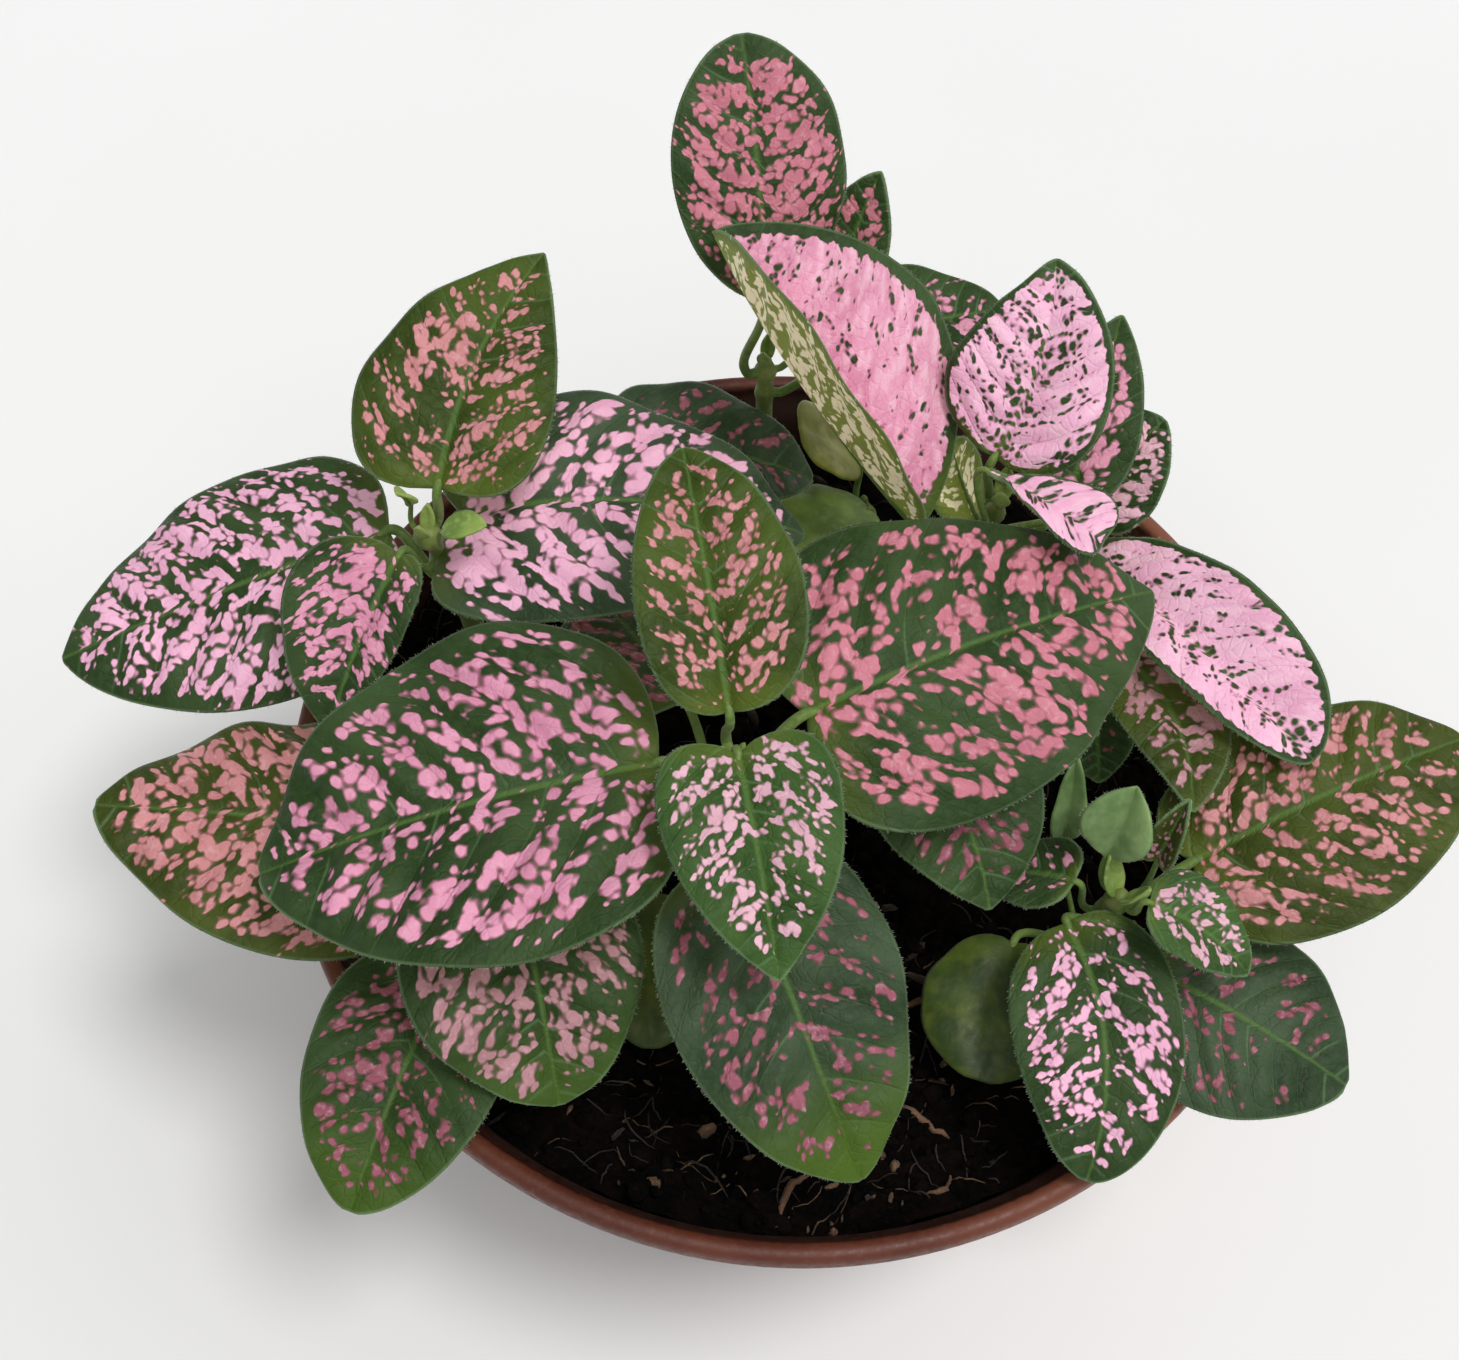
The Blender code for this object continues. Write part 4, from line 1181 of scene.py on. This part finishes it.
def make_camera():
    """A camera that looks down from the front, with the framing of a hand-held close view."""
    tilt, roll, distance = radians(58.5), radians(2.5), 268.8
    aim = np.array([-8.13, 11.31, 70.0])
    forward = np.array([0, cos(tilt), -sin(tilt)])
    right, up = np.array([1.0, 0, 0]), np.array([0, sin(tilt), cos(tilt)])
    right, up = cos(roll) * right + sin(roll) * up, cos(roll) * up - sin(roll) * right
    data = bpy.data.cameras.new("camera")
    data.lens = 54.3
    data.clip_start = 0.01
    camera = placed("camera", data)
    turn = Matrix([Vector(right), Vector(up), Vector(-forward)]).transposed().to_4x4()
    camera.matrix_world = Matrix.Translation(Vector((aim - distance * forward) * MM)) @ turn
    bpy.context.scene.camera = camera


def make_floor():
    """A wide pale square just below the pot's base, with two tones that drift."""
    p = Paint("pale_floor")
    colour = p.blotch(tone(241, 241, 241), tone(243, 243, 243), p.place(), 0.01, 2.0, 0.3, 0.7)
    far, level = FLOOR_HALF * MM, FLOOR_LEVEL * MM
    mesh = bpy.data.meshes.new("floor")
    mesh.from_pydata([(-far, -far, level), (far, -far, level), (far, far, level),
                      (-far, far, level)], [], [(0, 1, 2, 3)])
    mesh.materials.append(p.done(colour, 0.9, Specular_IOR_Level=0.1))
    placed("floor", mesh)


def make_light():
    """A soft key from the front right, broad fills from the front and right, a pale surround."""
    for number, (turn, height, spread, power) in enumerate(SUNS):
        data = bpy.data.lights.new(f"light_{number}", "SUN")
        data.energy, data.angle, data.color = power, radians(spread), (1.0, 0.99, 0.975)
        turn, height = radians(turn), radians(height)
        towards = Vector((cos(height) * cos(turn), cos(height) * sin(turn), sin(height)))
        light = placed(f"light_{number}", data)
        light.rotation_euler = towards.to_track_quat("Z", "Y").to_euler()
    world = bpy.data.worlds.new("surround")
    world.use_nodes = True
    surround = world.node_tree.nodes["Background"]
    surround.inputs["Color"].default_value = (0.955, 0.982, 1.0, 1)
    surround.inputs["Strength"].default_value = SURROUND
    bpy.context.scene.world = world
    bpy.context.scene.view_settings.view_transform = "Standard"


# ---------------------------------------------------------------- making
SOIL_RADIUS = wall_radius(SOIL_LEVEL)
BALL = turned_rings([(sin(a), -cos(a)) for a in np.linspace(0.5, pi - 0.5, 4)], 7)

STEM_PAINT = plain_paint("young_stem", (84, 106, 44), (128, 146, 74), (128, 96, 76))
PETIOLE_PAINT = plain_paint("petiole_green", (82, 108, 44), (112, 138, 64), (132, 152, 92))
HAIR_PAINT = plain_paint("margin_hair", (176, 190, 160), (200, 208, 184), (220, 224, 206))
YOUNG_PAINT = plain_paint("young_leaf", (104, 134, 54), (146, 170, 86), (168, 186, 116), 0.8)
# painted shade: a darker copy of the seed-leaf paint, partly their own dark green and partly shade,
# for seed leaves low down in shade
DARK_SHADED_SEED = plain_paint("dark_seed_leaf_painted_shade", (46, 64, 18), (70, 88, 26), (122, 130, 44), 0.3,
                        patches=0.25)
# painted light: lighter seed-leaf paints, partly their own light green and partly light, that
# brighten them where leaves above shade them
LIT_SEED_PAINT = plain_paint("seed_leaf", (92, 118, 44), (134, 160, 74), (160, 178, 104), 0.5,
                         patches=0.3)
PALE_SEED = plain_paint("pale_seed_leaf", (92, 122, 70), (126, 154, 96), (150, 172, 116), 0.5,
                        patches=0.3)
LIT_NOTCHED_SEED = plain_paint("notched_seed_leaf", (112, 116, 34), (152, 152, 62), (196, 190, 128),
                           0.3, patches=0.3)
PLAIN_PAINTS = {"seed_leaf_corner": DARK_SHADED_SEED, "seed_leaf_right_round": DARK_SHADED_SEED,
                "seed_leaf_notched": LIT_NOTCHED_SEED, "seed_leaf_flat": LIT_SEED_PAINT,
                "seed_leaf_right_narrow": PALE_SEED, "leaf_right_pale": PALE_SEED}
SOIL_PAINT = soil_paint()
BARK_PAINT = plain_paint("bark_brown", (26, 18, 13), (54, 38, 27), (80, 58, 42), 1.5, 0.8)
STRAW_PAINT = plain_paint("pale_straw", (70, 52, 38), (112, 86, 62), (140, 112, 84), 1.5, 0.75)
TWIG_PAINT = plain_paint("tan_twig", (84, 58, 42), (122, 88, 66), (150, 116, 92), 1.5, 0.75)
POT_PAINT = pot_paint()

make_pot()
make_soil()
scatter("soil_crumbs", 3000, (0.3, 1.5), (0.6, 1.2), 11, SOIL_PAINT)
scatter("bark_chips", 150, (0.7, 2.2), ((0.5, 0.25, 0.12), (1.5, 0.7, 0.3)), 12, BARK_PAINT)
scatter("rim_chips", 46, (0.5, 1.7), ((0.6, 0.3, 0.15), (1.5, 0.8, 0.3)), 13, STRAW_PAINT,
        (236, 300))
lay_threads("brown_fibres", 520, (2.0, 9.0), (0.05, 0.13), 14, BARK_PAINT)
lay_threads("pale_fibres", 60, (2.5, 8.0), (0.05, 0.12), 15, STRAW_PAINT, (225, 315))
lay_threads("twigs", 6, (5.0, 9.0), (0.35, 0.55), 19, TWIG_PAINT, (250, 310))
for order, (stem_name, stem) in enumerate(STEMS.items()):
    make_stem(stem_name, stem, LEAVES[stem_name])
    if stem.tip_leaf:
        make_tip_leaves(stem_name, stem)
    for number, (leaf_name, leaf) in enumerate(LEAVES[stem_name].items()):
        make_leaf(leaf_name, leaf, stem, 10 * order + number + 1)
make_floor()
make_light()
make_camera()
